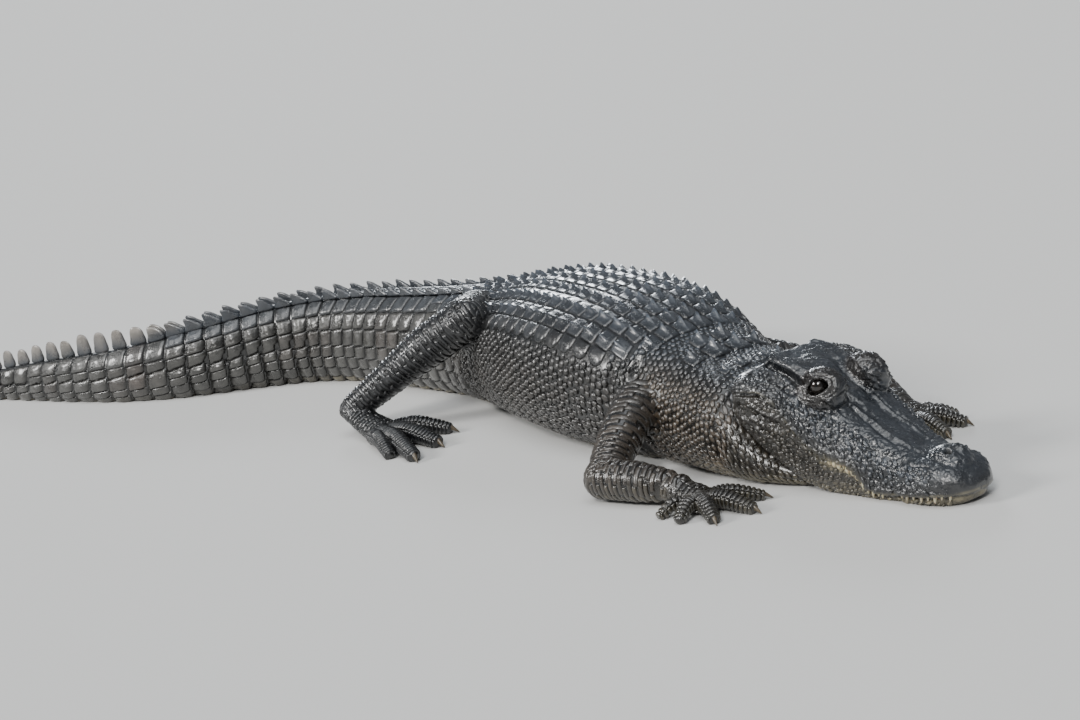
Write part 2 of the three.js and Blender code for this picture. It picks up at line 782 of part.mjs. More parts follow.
function jawShape() {
  let shape = jawSolid();
  for (const side of [-1, 1]) {
    const muscle = ellipsoid(
      new THREE.Vector3(JAW_MUSCLE.length, JAW_MUSCLE.width, JAW_MUSCLE.height),
      new THREE.Vector3(JAW_MUSCLE.x, side * JAW_MUSCLE.y, JAW_MUSCLE.z),
    );
    shape = shape.add(muscle);
  }
  shape = shape.subtract(upperHeadSolid(GAP));
  return largest(shape.intersect(halfSpace(new THREE.Vector3(), new THREE.Vector3(0, 0, 1), 0)));
}

const head = headShape();
const jaw = jawShape();
const eyeSize = new THREE.Vector3(EYE.radius, EYE.radius, EYE.radius);

// The neck with the throat, hollowed in front to hold the back of the skull and the jaw.
function neckShape(back) {
  const clear = GAP * 1.3;
  const hollow = union([upperHeadSolid(clear), jawSolid(clear), jawMuscles(clear)]);
  return largest(bodyLength(NECK_FRONT, back, 0).subtract(hollow));
}

function jawMuscles(grow) {
  return union(
    [-1, 1].map((side) =>
      ellipsoid(
        new THREE.Vector3(JAW_MUSCLE.length + grow, JAW_MUSCLE.width + grow, JAW_MUSCLE.height + grow),
        new THREE.Vector3(JAW_MUSCLE.x, side * JAW_MUSCLE.y, JAW_MUSCLE.z),
      ),
    ),
  );
}

// A length of the body with its scutes, square to the spine at both ends.
function bodyLength(from, to, grow) {
  const start = from + GAP / 2 - grow;
  const end = to - GAP / 2 + grow;
  return largest(union([flesh(start, end, grow), ...scutesBetween(start, end, grow)]));
}

addPart("head", head, HEAD_SKIN);
addPart("lower_jaw", jaw, JAW_SKIN);
for (const [name, side] of [["eye_left", 1], ["eye_right", -1]]) {
  addPart(name, ellipsoid(eyeSize, new THREE.Vector3(EYE.x, side * EYE.y, EYE.z)), EYE_SURFACE);
}
const ends = LENGTH_ENDS.map(([, q]) => (q === TOTAL_LENGTH ? q : nearestBandEnd(q)));
LENGTH_ENDS.forEach(([name], i) => {
  addPart(name, i === 0 ? neckShape(ends[0]) : bodyLength(ends[i - 1], ends[i], 0), SKIN);
});

const bodyForLimbs = union(
  [NECK_FRONT, ends[0], ends[1]].map((from, i) => bodyLength(from, ends[i], FITTED_GAP)),
);
for (const [word, side] of [["left", 1], ["right", -1]]) {
  const arm = limb(side, FORELIMB, bodyForLimbs);
  const leg = limb(side, HINDLIMB, bodyForLimbs);
  ["upper_arm", "forearm", "hand"].forEach((part, i) => addPart(`${part}_${word}`, arm[i], LIMB_SKIN));
  ["thigh", "shank", "foot"].forEach((part, i) => addPart(`${part}_${word}`, leg[i], LIMB_SKIN));
}

export default root;
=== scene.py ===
"""American alligator at life size, lying on its belly: wet skin, scales, scutes, eyes, teeth, claws.

Sizes are in millimetres until a mesh is made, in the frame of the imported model: X along the trunk
to the front, Y to the animal's left, Z up, the origin on the floor under the middle of the trunk.
"""

import json
import math

import bpy
import numpy as np
from mathutils import Matrix, Vector
from mathutils.bvhtree import BVHTree

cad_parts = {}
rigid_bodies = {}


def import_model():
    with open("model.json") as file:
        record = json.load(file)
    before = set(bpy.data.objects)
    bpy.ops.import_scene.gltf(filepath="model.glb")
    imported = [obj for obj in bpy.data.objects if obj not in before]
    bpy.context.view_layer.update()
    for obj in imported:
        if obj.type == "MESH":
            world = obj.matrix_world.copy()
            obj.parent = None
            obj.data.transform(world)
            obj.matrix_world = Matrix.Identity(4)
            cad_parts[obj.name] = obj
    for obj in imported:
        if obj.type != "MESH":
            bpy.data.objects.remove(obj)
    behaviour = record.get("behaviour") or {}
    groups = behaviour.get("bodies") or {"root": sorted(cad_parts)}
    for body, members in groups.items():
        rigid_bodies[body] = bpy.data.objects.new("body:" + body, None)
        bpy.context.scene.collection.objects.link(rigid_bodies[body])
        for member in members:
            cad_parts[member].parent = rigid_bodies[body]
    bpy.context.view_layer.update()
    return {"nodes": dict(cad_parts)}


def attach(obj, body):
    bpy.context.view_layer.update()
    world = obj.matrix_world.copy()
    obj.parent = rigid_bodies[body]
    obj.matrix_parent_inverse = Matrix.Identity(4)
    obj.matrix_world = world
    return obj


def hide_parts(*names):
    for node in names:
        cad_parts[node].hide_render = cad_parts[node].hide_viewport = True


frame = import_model()

MM = 0.001

# The body's driving sizes: distance q runs back along the spine.
TOTAL_LENGTH = 3350
OCCIPUT = 410
TRUNK_MIDDLE = 1030
HEAD_PITCH = math.radians(13)
CHIN_CONTACT = 350
BELLY_SINK = 0.06
SKIN_DEPTH = 3.0  # of the skin under the outer face of the scales

# Heading of the spine in degrees to the left of X, at distances q.
BENDS = [
    [0, 3], [410, 3], [530, -3], [640, -6], [850, -7], [1030, -9], [1250, -4], [1450, 5], [1650, 11],
    [1850, 12], [2000, 26], [2150, 46], [2300, 56], [2450, 46], [2600, 33], [2750, 24], [2900, 22],
    [3050, 24], [3350, 34],
]
# Flesh of neck, trunk and tail: distance q, half width, height of the back, squareness.
FLESH = [
    [230, 45, 26, 2.2], [290, 84, 42, 2.2], [350, 118, 72, 2.3], [400, 142, 118, 2.4],
    [440, 154, 176, 2.4], [470, 157, 200, 2.4], [540, 156, 210, 2.4], [610, 162, 226, 2.4],
    [680, 176, 248, 2.4], [760, 196, 270, 2.5], [860, 215, 288, 2.5], [1000, 226, 296, 2.5],
    [1150, 222, 294, 2.5], [1300, 196, 276, 2.5], [1410, 166, 258, 2.5], [1500, 144, 244, 2.4],
    [1620, 126, 232, 2.3], [1800, 107, 222, 2.2], [2000, 90, 210, 2.1], [2200, 74, 196, 2.0],
    [2400, 60, 167, 2.0], [2600, 47, 136, 2.0], [2800, 36, 114, 2.0], [3000, 25, 90, 2.0],
    [3150, 16, 62, 2.0], [3270, 9, 36, 2.0], [3330, 5, 18, 2.0], [3350, 3, 12, 2.0],
]
# Upper head: distance in front of the occiput, half width at the lips, lip line, top of the lip's
# steep face, top of the head, half width of that top.
UPPER_HEAD = [
    [455, 9, 47, 51, 57, 5], [449, 28, 45, 56, 65, 15], [436, 46, 41, 60, 74, 26],
    [415, 61, 35, 60, 83, 34], [388, 71, 27, 56, 87, 37], [358, 74, 17, 50, 83, 36],
    [330, 73, 9, 45, 81, 37], [300, 77, 0, 43, 84, 39], [273, 83, 0, 46, 89, 41],
    [257, 87, 14, 51, 92, 42], [240, 91, 29, 56, 96, 44], [212, 97, 33, 62, 103, 46],
    [186, 103, 33, 68, 113, 46], [160, 109, 44, 76, 124, 45], [130, 116, 63, 90, 136, 46],
    [104, 122, 86, 104, 149, 54], [78, 128, 107, 124, 157, 60], [50, 134, 119, 130, 159, 60],
    [20, 138, 112, 128, 159, 60], [2, 140, 107, 125, 158, 59], [-12, 138, 104, 119, 142, 57],
    [-34, 128, 101, 112, 128, 54],
]
# Lower jaw: distance in front of the occiput, its set-back from the upper lip, lower edge.
LOWER_JAW = [
    [449, 12, 32], [436, 10, 22], [415, 10, 14], [388, 9, 4], [358, 9, -4], [330, 9, -12],
    [300, 9, -20], [273, 9, -26], [257, 9, -30], [240, 9, -34], [212, 9, -40], [186, 8, -42],
    [160, 7, -42], [130, 6, -38], [104, 5, -30], [78, 4, -19], [50, 3, -4], [20, 3, 14],
    [2, 4, 34], [-12, 6, 52], [-34, 12, 74],
]
EYE = np.array([129.0, 64.0, 145.0])
EYE_RADIUS = 18.5
LID_MOUND = {"centre": (134, 54, 147), "radii": (43, 31, 31)}
LID_ROOT = {"centre": (130, 58, 128), "radii": (50, 36, 28)}
NOSE_BULB = {"centre": (384, 0, 80), "radii": (40, 36, 20)}
NOSTRIL = (388, 16)
JAW_MUSCLE = {"centre": (22, 112, 74), "radii": (48, 30, 34)}

# Bands of scutes, from the neck to the tail tip.
FIRST_BAND = 655
BAND_LENGTH = [
    [655, 46], [1450, 47], [1900, 46], [2300, 46], [2480, 54], [2650, 58], [3000, 52], [3200, 40],
    [3350, 26],
]
# Rows of keeled scutes along the back: distance over the back from the midline, first and last
# distance q, width, height of the keel.
BACK_ROWS = [
    [23, 668, 1475, 45, 15],
    [70, 668, 1470, 45, 15],
    [117, 668, 1440, 45, 14],
    [164, 690, 1390, 44, 12],
    [207, 735, 1345, 38, 7],
]
OUTER_ROW, OUTER_FIRST, OUTER_LAST = BACK_ROWS[-1][:3]
SHIELD_EDGE = 228  # half the width of the shield, over the back
FULL_HALF_WIDTH = 222  # of the trunk, where the shield has its whole width
TAIL_START = 1440
NECK_SCUTES = [
    [486, 30, 26, 26, 12], [490, 66, 24, 24, 11], [566, 26, 46, 44, 20],
    [574, 74, 38, 34, 15], [614, 25, 40, 40, 17],
]
# The tail's crest: distance, offset of each row from the midline, height.
CREST = [
    [1460, 50, 13], [1700, 42, 17], [1900, 34, 22], [2100, 26, 27], [2300, 18, 31], [2510, 9, 38],
    [2620, 8, 46], [2800, 8, 44], [3000, 8, 38], [3200, 8, 26], [3350, 8, 10],
]
ROWS_MEET = 2520

FORELIMB = {
    "attach": 690,
    "turn": {"left": -14, "right": 0},
    "rise": {"left": 1, "right": 1},
    "upper": [[0, 90, 140, 56], [51, 175, 122, 47], [106, 261, 74, 40], [151, 310, 44, 38]],
    "fore": [[147, 314, 42, 39], [217, 285, 42, 38], [292, 245, 35, 29]],
    "palm": [[287, 248, 33, 27], [336, 235, 24, 33], [359, 226, 14, 30]],
    "digits": [
        [[390, 136], [335, 213], 12, 20], [[439, 190], [350, 222], 14, 20],
        [[428, 262], [353, 238], 13.5, 19], [[381, 301], [348, 253], 12, 0],
        [[329, 307], [330, 263], 10.5, 0],
    ],
    "digit_root_height": 16,
    "web": 0.6,
}
HINDLIMB = {
    "attach": 1440,
    "turn": {"left": 7, "right": 0},
    "rise": {"left": 0.84, "right": 1},
    "upper": [[0, 70, 165, 80], [58, 141, 200, 70], [112, 204, 226, 50]],
    "fore": [[116, 207, 228, 47], [39, 269, 174, 48], [-31, 336, 112, 38], [-87, 395, 60, 32]],
    "palm": [[-91, 400, 54, 31], [-44, 399, 34, 34], [14, 402, 20, 41], [42, 404, 12, 33]],
    "digits": [
        [[122, 308], [22, 370], 15.5, 24], [[183, 385], [33, 393], 17, 24],
        [[220, 472], [34, 413], 17, 23], [[153, 485], [27, 432], 14, 0],
    ],
    "digit_root_height": 18,
    "web": 0.95,
}
SIDES = (("left", 1), ("right", -1))
LIMB_PLANS = (("arm", FORELIMB), ("leg", HINDLIMB))
PALM_FLATTENING = 0.62
TOE_FLESH = 1.24  # the scene's toes are a little fuller than the solids'

# The photograph's view: camera in metres, direction and lens worked out from the body's landmarks.
CAMERA_PLACE = (3.5439, -2.481, 1.1661)
CAMERA_AZIMUTH = math.radians(57)
CAMERA_DOWN = math.radians(13.28)
CAMERA_ROLL = math.radians(-8.78)
CAMERA_LENS = 70.7
SENSOR_WIDTH = 36


def linear(hex_colour):
    """An sRGB hex colour as linear red, green and blue."""
    parts = [int(hex_colour[i : i + 2], 16) / 255 for i in (1, 3, 5)]
    return np.array([p / 12.92 if p <= 0.04045 else ((p + 0.055) / 1.055) ** 2.4 for p in parts])


def along(table, at, column):
    """A smooth value of a table's column at a distance, which never overshoots its rows."""
    rows = np.array(table, float)
    if rows[0, 0] > rows[-1, 0]:
        rows = rows[::-1]
    x, y = rows[:, 0], rows[:, column]
    at = np.clip(np.asarray(at, float), x[0], x[-1])
    slope = np.diff(y) / np.diff(x)
    tangent = np.empty(len(x))
    tangent[0], tangent[-1] = slope[0], slope[-1]
    product = slope[:-1] * slope[1:]
    total = np.where(product > 0, slope[:-1] + slope[1:], 1)
    tangent[1:-1] = np.where(product > 0, 2 * product / total, 0)
    i = np.clip(np.searchsorted(x, at, side="right") - 1, 0, len(x) - 2)
    span = x[i + 1] - x[i]
    t = (at - x[i]) / span
    rise = t * t * (3 - 2 * t)
    start_pull = (t**3 - 2 * t**2 + t) * span * tangent[i]
    end_pull = (t**3 - t**2) * span * tangent[i + 1]
    return y[i] + (y[i + 1] - y[i]) * rise + start_pull + end_pull


def smoothstep(low, high, value):
    t = np.clip((value - low) / (high - low), 0, 1)
    return t * t * (3 - 2 * t)


def bell(value, width):
    """1 where a value is zero, falling softly to both sides over a width."""
    return np.exp(-((value / width) ** 2))


def unit(vectors):
    return vectors / np.linalg.norm(vectors, axis=-1, keepdims=True)


# Ends of the bands of scutes, and each band's middle and length.
band_ends = [FIRST_BAND]
while band_ends[-1] < TOTAL_LENGTH - 24:
    band_ends.append(band_ends[-1] + float(along(BAND_LENGTH, band_ends[-1], 1)))
bands = [((a + b) / 2, b - a) for a, b in zip(band_ends[:-1], band_ends[1:])]


# Noise that is the same on every run.
def lattice(cell, seed):
    """A number from 0 to 1 for each whole-numbered cell."""
    mixed = cell[..., 0] * 374761393 + cell[..., 1] * 668265263 + cell[..., 2] * 2147483647
    mixed = (mixed + seed * 1274126177) & 0xFFFFFFFF
    mixed = ((mixed ^ (mixed >> 13)) * 1274126177) & 0xFFFFFFFF
    return (mixed ^ (mixed >> 16)) / 4294967295.0


def cloud(points, size, seed, octaves=1):
    """Soft noise from -1 to 1 whose clouds are about the size."""
    total, weight, reach = 0.0, 0.0, 1.0
    for octave in range(octaves):
        scaled = points / size * 2**octave
        cell = np.floor(scaled).astype(np.int64)
        t = scaled - cell
        t = t * t * (3 - 2 * t)
        value = 0.0
        for corner in range(8):
            offset = np.array([corner & 1, corner >> 1 & 1, corner >> 2 & 1])
            share = np.prod(np.where(offset, t, 1 - t), axis=-1)
            value = value + share * lattice(cell + offset, seed + octave * 17)
        total = total + (value * 2 - 1) * reach
        weight += reach
        reach *= 0.5
    return total / weight


def pebbles(points, size, seed):
    """Distance to the nearest grain centre and to the second nearest, in grain sizes."""
    scaled = points / size
    home = np.floor(scaled).astype(np.int64)
    first = np.full(len(points), 9.0)
    second = np.full(len(points), 9.0)
    for dx in (-1, 0, 1):
        for dy in (-1, 0, 1):
            for dz in (-1, 0, 1):
                cell = home + np.array([dx, dy, dz])
                jitter = np.stack([lattice(cell, seed + k) for k in range(3)], -1)
                distance = np.linalg.norm(cell + jitter - scaled, axis=1)
                second = np.minimum(second, np.maximum(first, distance))
                first = np.minimum(first, distance)
    return first, second


def grains(points, size, seed, low, high):
    """How far points lie inside a grain, with a smooth step between two depths."""
    first, second = pebbles(points, size, seed)
    return smoothstep(low, high, second - first)


# The spine.
SPINE_STEP = 2.5
spine_q = np.arange(0, TOTAL_LENGTH + 2 * SPINE_STEP, SPINE_STEP)
spine_heading = np.radians(along(BENDS, spine_q[1:] - SPINE_STEP / 2, 1))
spine_x = -np.concatenate([[0], np.cumsum(np.cos(spine_heading))]) * SPINE_STEP
spine_y = -np.concatenate([[0], np.cumsum(np.sin(spine_heading))]) * SPINE_STEP
spine_x -= np.interp(TRUNK_MIDDLE, spine_q, spine_x)
spine_y -= np.interp(TRUNK_MIDDLE, spine_q, spine_y)


def place(q, left, height):
    """A point of the body: distance q, offset to the left, height."""
    q, left, height = np.broadcast_arrays(np.asarray(q, float), left, height)
    turn = np.radians(along(BENDS, q, 1))
    x = np.interp(q, spine_q, spine_x) - np.sin(turn) * left
    y = np.interp(q, spine_q, spine_y) + np.cos(turn) * left
    return np.stack([x, y, height], -1)


def body_coordinates(points):
    """Distance q and offset to the left of each point."""
    coarse = slice(None, None, 8)
    centres = np.stack([spine_x[coarse], spine_y[coarse]], 1)
    q = np.empty(len(points))
    for start in range(0, len(points), 20000):
        part = points[start : start + 20000, :2]
        nearest = ((part[:, None] - centres[None]) ** 2).sum(2).argmin(1)
        q[start : start + 20000] = spine_q[coarse][nearest]
    for _ in range(2):
        turn = np.radians(along(BENDS, q, 1))
        ahead = np.stack([np.cos(turn), np.sin(turn)], 1)
        offset = points[:, :2] - np.stack([np.interp(q, spine_q, spine_x), np.interp(q, spine_q, spine_y)], 1)
        q = np.clip(q - (offset * ahead).sum(1), 0, TOTAL_LENGTH)
    turn = np.radians(along(BENDS, q, 1))
    side = np.stack([-np.sin(turn), np.cos(turn)], 1)
    offset = points[:, :2] - np.stack([np.interp(q, spine_q, spine_x), np.interp(q, spine_q, spine_y)], 1)
    return q, (offset * side).sum(1)


# The head's frame: x to the snout, y to its left, z up, pitched nose down about the occiput.
head_turn = math.radians(float(along(BENDS, OCCIPUT, 1)))
head_axes = np.array(Matrix.Rotation(head_turn, 3, "Z") @ Matrix.Rotation(HEAD_PITCH, 3, "Y"))
head_origin = place(OCCIPUT, 0, CHIN_CONTACT * math.sin(HEAD_PITCH))


def from_head(points):
    return np.asarray(points, float) @ head_axes.T + head_origin


def to_head(points):
    return (points - head_origin) @ head_axes


class Chart:
    """A surface as rows of points, with a distance along it and one round it from its middle line."""

    def __init__(self, name, rows, grid, columns=97):
        self.name = name
        self.rows = np.asarray(rows, float)
        self.grid = np.empty((len(rows), columns, 3))
        self.girth = np.empty(len(rows))
        for i, ring in enumerate(grid):
            steps = np.concatenate([[0], np.cumsum(np.linalg.norm(np.diff(ring, axis=0), axis=1))])
            self.girth[i] = steps[-1]
            even = np.linspace(0, steps[-1], columns)
            self.grid[i] = np.stack([np.interp(even, steps, ring[:, k]) for k in range(3)], -1)

    def point(self, u, v):
        u, v = np.broadcast_arrays(u, v)
        row = np.clip(np.interp(u, self.rows, np.arange(len(self.rows))), 0, len(self.rows) - 1.001)
        share = v / np.interp(u, self.rows, self.girth) + 0.5
        column = np.clip(share, 0, 0.9999) * (self.grid.shape[1] - 1)
        i, j = row.astype(int), column.astype(int)
        a, b = (row - i)[..., None], (column - j)[..., None]
        g = self.grid
        near = g[i, j] * (1 - b) + g[i, j + 1] * b
        far = g[i + 1, j] * (1 - b) + g[i + 1, j + 1] * b
        return near * (1 - a) + far * a

    def normal(self, u, v, reach=3.0):
        down = self.point(u + reach, v) - self.point(u - reach, v)
        across = self.point(u, v + reach) - self.point(u, v - reach)
        normal = np.cross(down, across)
        length = np.linalg.norm(normal, axis=-1, keepdims=True)
        return normal / np.maximum(length, 1e-9)

    def half_girth(self, u):
        return np.interp(u, self.rows, self.girth) / 2


def body_ring(q, inset=0.0, count=97):
    """A ring of the body from the middle of the belly up its left side and down its right."""
    half = float(along(FLESH, q, 1)) - inset
    top = float(along(FLESH, q, 2)) - inset
    power = 2 / float(along(FLESH, q, 3))
    middle = top * 0.44
    bottom = -top * BELLY_SINK
    angle = np.linspace(-math.pi, math.pi, count)
    up, side = np.cos(angle), -np.sin(angle)
    left = half * np.sign(side) * np.abs(side) ** power
    rise = np.where(up > 0, top - middle, middle - bottom) * np.sign(up) * np.abs(up) ** power
    return place(q, left, np.maximum(middle + rise, inset * 0.5))


BODY_ROWS = np.arange(230, TOTAL_LENGTH + 0.1, 6)
body_chart = Chart("body", BODY_ROWS, [body_ring(q) for q in BODY_ROWS])


def curve_points(points, t):
    """Points and directions on a centripetal curve through given points, for t from 0 to 1."""
    points = np.asarray(points, float)
    padded = np.vstack([2 * points[0] - points[1], points, 2 * points[-1] - points[-2]])
    place_on = np.clip(t, 0, 1) * (len(points) - 1)
    segment = np.minimum(place_on.astype(int), len(points) - 2)
    w = (place_on - segment)[:, None]
    p0, p1, p2, p3 = (padded[segment + k] for k in range(4))
    pairs = ((p0, p1), (p1, p2), (p2, p3))
    d0, d1, d2 = (np.maximum(((b - a) ** 2).sum(1) ** 0.25, 1e-4)[:, None] for a, b in pairs)
    t1 = ((p1 - p0) / d0 - (p2 - p0) / (d0 + d1) + (p2 - p1) / d1) * d1
    t2 = ((p2 - p1) / d1 - (p3 - p1) / (d1 + d2) + (p3 - p2) / d2) * d1
    c2 = -3 * p1 + 3 * p2 - 2 * t1 - t2
    c3 = 2 * p1 - 2 * p2 + t1 + t2
    where = p1 + t1 * w + c2 * w**2 + c3 * w**3
    ahead = t1 + 2 * c2 * w + 3 * c3 * w**2
    return where, unit(ahead)


class Limb:
    """A tapered tube through joints [x, y, z, radius], its rings starting from the underside."""

    # Rings of its round ends: size and distance past the end, as shares of the radius.
    ENDS = [(0.45, 0.88), (0.75, 0.66), (0.94, 0.35)]

    def __init__(self, name, joints, flattening=1.0, inset=0.0, step=4.0):
        self.name = name
        joints = np.asarray(joints, float)
        length = np.linalg.norm(np.diff(joints[:, :3], axis=0), axis=1).sum()
        t = np.linspace(0, 1, max(4, round(length / step)))
        self.centres, self.ahead = curve_points(joints[:, :3], t)
        self.radii = np.interp(t * (len(joints) - 1), np.arange(len(joints)), joints[:, 3]) - inset
        self.flattening = flattening
        self.length = length
        self.distances = t * length
        self.side = unit(np.cross([0, 0, 1], self.ahead))
        self.up = np.cross(self.ahead, self.side)

    def ring(self, i, count, swell=1.0, shift=0.0):
        angle = np.linspace(-math.pi, math.pi, count)[:, None]
        radius = self.radii[i] * swell
        centre = self.centres[i] + self.ahead[i] * shift
        points = centre - self.side[i] * np.sin(angle) * radius
        points = points + self.up[i] * np.cos(angle) * radius * self.flattening
        points[:, 2] = np.maximum(points[:, 2], 0.2)
        return points

    def rows(self, count):
        """Distances and rings of the tube and of its rounded ends."""
        first, last = self.radii[0], self.radii[-1]
        before = [(-first * far, self.ring(0, count, size, -first * far)) for size, far in self.ENDS]
        tube = [(u, self.ring(i, count)) for i, u in enumerate(self.distances)]
        ends = reversed(self.ENDS)
        after = [(self.length + last * far, self.ring(-1, count, size, last * far)) for size, far in ends]
        return before + tube + after

    def rings(self, count=25):
        return [ring[:-1] for _, ring in self.rows(count)]

    def chart(self, count=41):
        rows = self.rows(count)
        return Chart(self.name, [u for u, _ in rows], [ring for _, ring in rows], count)


def limb_frame(side, plan):
    """A function that gives a point of a limb's own frame: forward, out to its side, up."""
    base = place(plan["attach"], 0, 0)
    turn = math.radians(plan["turn"]["left"] if side > 0 else -plan["turn"]["right"])
    angle = math.radians(float(along(BENDS, plan["attach"], 1))) - turn
    forward = np.array([math.cos(angle), math.sin(angle), 0])
    out = np.array([-math.sin(angle) * side, math.cos(angle) * side, 0])
    return lambda ahead, away, height: base * [1, 1, 0] + forward * ahead + out * away + [0, 0, height]


def limb_parts(side, word, kind, plan, inset):
    """The tubes of one limb by name: upper and lower length, palm, digits."""
    at = limb_frame(side, plan)
    rise = plan["rise"][word]
    tube = lambda rows: [[*at(a, o, h * rise), r] for a, o, h, r in rows]
    parts = {
        "upper": Limb(f"{kind}_upper_{word}", tube(plan["upper"]), inset=inset),
        "lower": Limb(f"{kind}_lower_{word}", tube(plan["fore"]), inset=inset),
        "palm": Limb(f"{kind}_palm_{word}", tube(plan["palm"]), PALM_FLATTENING, inset=inset * 0.7),
        "digits": [],
        "webs": [],
    }
    root_height = plan["digit_root_height"]
    for number, (tip, root, radius, claw) in enumerate(plan["digits"]):
        radius = radius * TOE_FLESH
        start = at(*root, root_height)
        end = at(*tip, radius * 0.6)
        knuckle = start * 0.55 + end * 0.45
        knuckle[2] = root_height + radius * 0.35
        joints = [[*start, radius], [*knuckle, radius * 0.94], [*end, radius * 0.7]]
        digit = Limb(f"{kind}_digit{number}_{word}", joints, inset=inset * 0.35, step=3.0)
        digit.claw = claw
        digit.knuckle, digit.start = knuckle, start
        parts["digits"].append(digit)
    for near, far in zip(parts["digits"][:-1], parts["digits"][1:]):
        between = (near.knuckle + far.knuckle) / 2 * [1, 1, 0]
        base = (near.start + far.start) / 2 * [1, 1, 0]
        edge = base + (between - base) * plan["web"]
        reach = np.linalg.norm(near.knuckle - far.knuckle) / 2 * plan["web"]
        web = [[*base, 16], [*edge, max(reach, 6)]]
        web = [[x, y, root_height * height, r] for (x, y, z, r), height in zip(web, (0.9, 0.62))]
        parts["webs"].append(Limb(f"{kind}_web_{word}", web, 0.3, step=4.0))
    return parts


# Mesh helpers.
def deselect():
    for other in bpy.context.view_layer.objects:
        other.select_set(False)


def only(obj):
    deselect()
    obj.select_set(True)
    bpy.context.view_layer.objects.active = obj


def make_object(name, points_mm, faces):
    """A new object from points in millimetres."""
    mesh = bpy.data.meshes.new(name)
    mesh.from_pydata((np.asarray(points_mm, float) * MM).tolist(), [], faces)
    mesh.update()
    obj = bpy.data.objects.new(name, mesh)
    bpy.context.scene.collection.objects.link(obj)
    return obj


def points_of(obj):
    points = np.empty(len(obj.data.vertices) * 3)
    obj.data.vertices.foreach_get("co", points)
    return points.reshape(-1, 3) / MM


def normals_of(obj):
    normals = np.empty(len(obj.data.vertices) * 3)
    obj.data.vertices.foreach_get("normal", normals)
    return normals.reshape(-1, 3)


def set_points(obj, points_mm):
    obj.data.vertices.foreach_set("co", (points_mm * MM).ravel())
    obj.data.update()


def wall(rows, count, start=0, closed=False):
    """Faces between neighbouring rings of points, and from the last to the first where closed."""
    faces = []
    for r in range(rows if closed else rows - 1):
        low, high = start + r * count, start + (r + 1) % rows * count
        for k in range(count):
            after = (k + 1) % count
            faces.append((low + k, low + after, high + after, high + k))
    return faces


def loft(name, rings):
    """A closed object from rings of equal count, each end closed by one face, facing outwards."""
    count = len(rings[0])
    last = (len(rings) - 1) * count
    faces = wall(len(rings), count)
    faces.append(tuple(range(count)))
    faces.append(tuple(last + k for k in reversed(range(count))))
    obj = make_object(name, np.vstack(rings), faces)
    face_outwards(obj)
    return obj


def face_outwards(obj):
    only(obj)
    bpy.ops.object.mode_set(mode="EDIT")
    bpy.ops.mesh.select_all(action="SELECT")
    bpy.ops.mesh.normals_make_consistent(inside=False)
    bpy.ops.object.mode_set(mode="OBJECT")


def ball(centre, radii, segments=32):
    """An ellipsoid in the head's frame."""
    deselect()
    rows = segments // 2
    bpy.ops.mesh.primitive_uv_sphere_add(segments=segments, ring_count=rows, radius=1, location=(0, 0, 0))
    obj = bpy.context.object
    set_points(obj, from_head(points_of(obj) * MM * radii + centre))
    return obj


def settle(obj):
    """Moves an object's own place into its mesh."""
    obj.data.transform(obj.matrix_world)
    obj.matrix_world = Matrix.Identity(4)


def join(objects, name):
    deselect()
    for obj in objects:
        obj.select_set(True)
    bpy.context.view_layer.objects.active = objects[0]
    bpy.ops.object.join()
    objects[0].name = name
    return objects[0]


def apply(obj, kind, **settings):
    """Adds a modifier with its settings and applies it."""
    only(obj)
    modifier = obj.modifiers.new(kind.lower(), kind)
    for key, value in settings.items():
        setattr(modifier, key, value)
    bpy.ops.object.modifier_apply(modifier=modifier.name)


def combine(obj, other, operation):
    apply(obj, "BOOLEAN", object=other, operation=operation, solver="MANIFOLD")
    bpy.data.objects.remove(other)


# Skin of the head.
def smooth_ring(corners, count):
    """A closed smooth ring through corners, evenly spaced."""
    corners = np.asarray(corners, float)
    n = len(corners)
    fine = []
    for i in range(n):
        p0, p1, p2, p3 = (corners[(i + k - 1) % n] for k in range(4))
        for w in np.arange(0, 1, 0.125):
            a = 2 * p1 + (p2 - p0) * w + (2 * p0 - 5 * p1 + 4 * p2 - p3) * w**2
            fine.append(0.5 * (a + (3 * p1 - p0 - 3 * p2 + p3) * w**3))
    fine = np.array(fine + [fine[0]])
    steps = np.concatenate([[0], np.cumsum(np.linalg.norm(np.diff(fine, axis=0), axis=1))])
    even = np.linspace(0, steps[-1], count + 1)[:-1]
    return np.stack([np.interp(even, steps, fine[:, k]) for k in range(3)], -1)


def upper_ring(x):
    w, lip, cheek, top, top_half = (float(along(UPPER_HEAD, x, c)) for c in range(1, 6))
    # Between eye and occiput the head falls steeply from the edge of its flat table to the cheek.
    hollow = float(smoothstep(-14, 4, x) * smoothstep(112, 84, x))
    outer, inner = 0.8 - 0.18 * hollow, 0.45 - 0.29 * hollow
    side = [
        (w, lip), (w + 1.5, (lip + cheek) / 2), (w * 0.985, cheek),
        (w * outer + top_half * (1 - outer), cheek + (top - cheek) * (0.42 - 0.22 * hollow)),
        (w * inner + top_half * (1 - inner), cheek + (top - cheek) * (0.78 - 0.28 * hollow)),
        (top_half, top - 2), (top_half * 0.5, top),
    ]
    corners = [(x, y, z) for y, z in side] + [(x, 0, top)]
    return corners + [(x, -y, z) for y, z in reversed(side)] + [(x, w * s, lip) for s in (-0.5, 0, 0.5)]


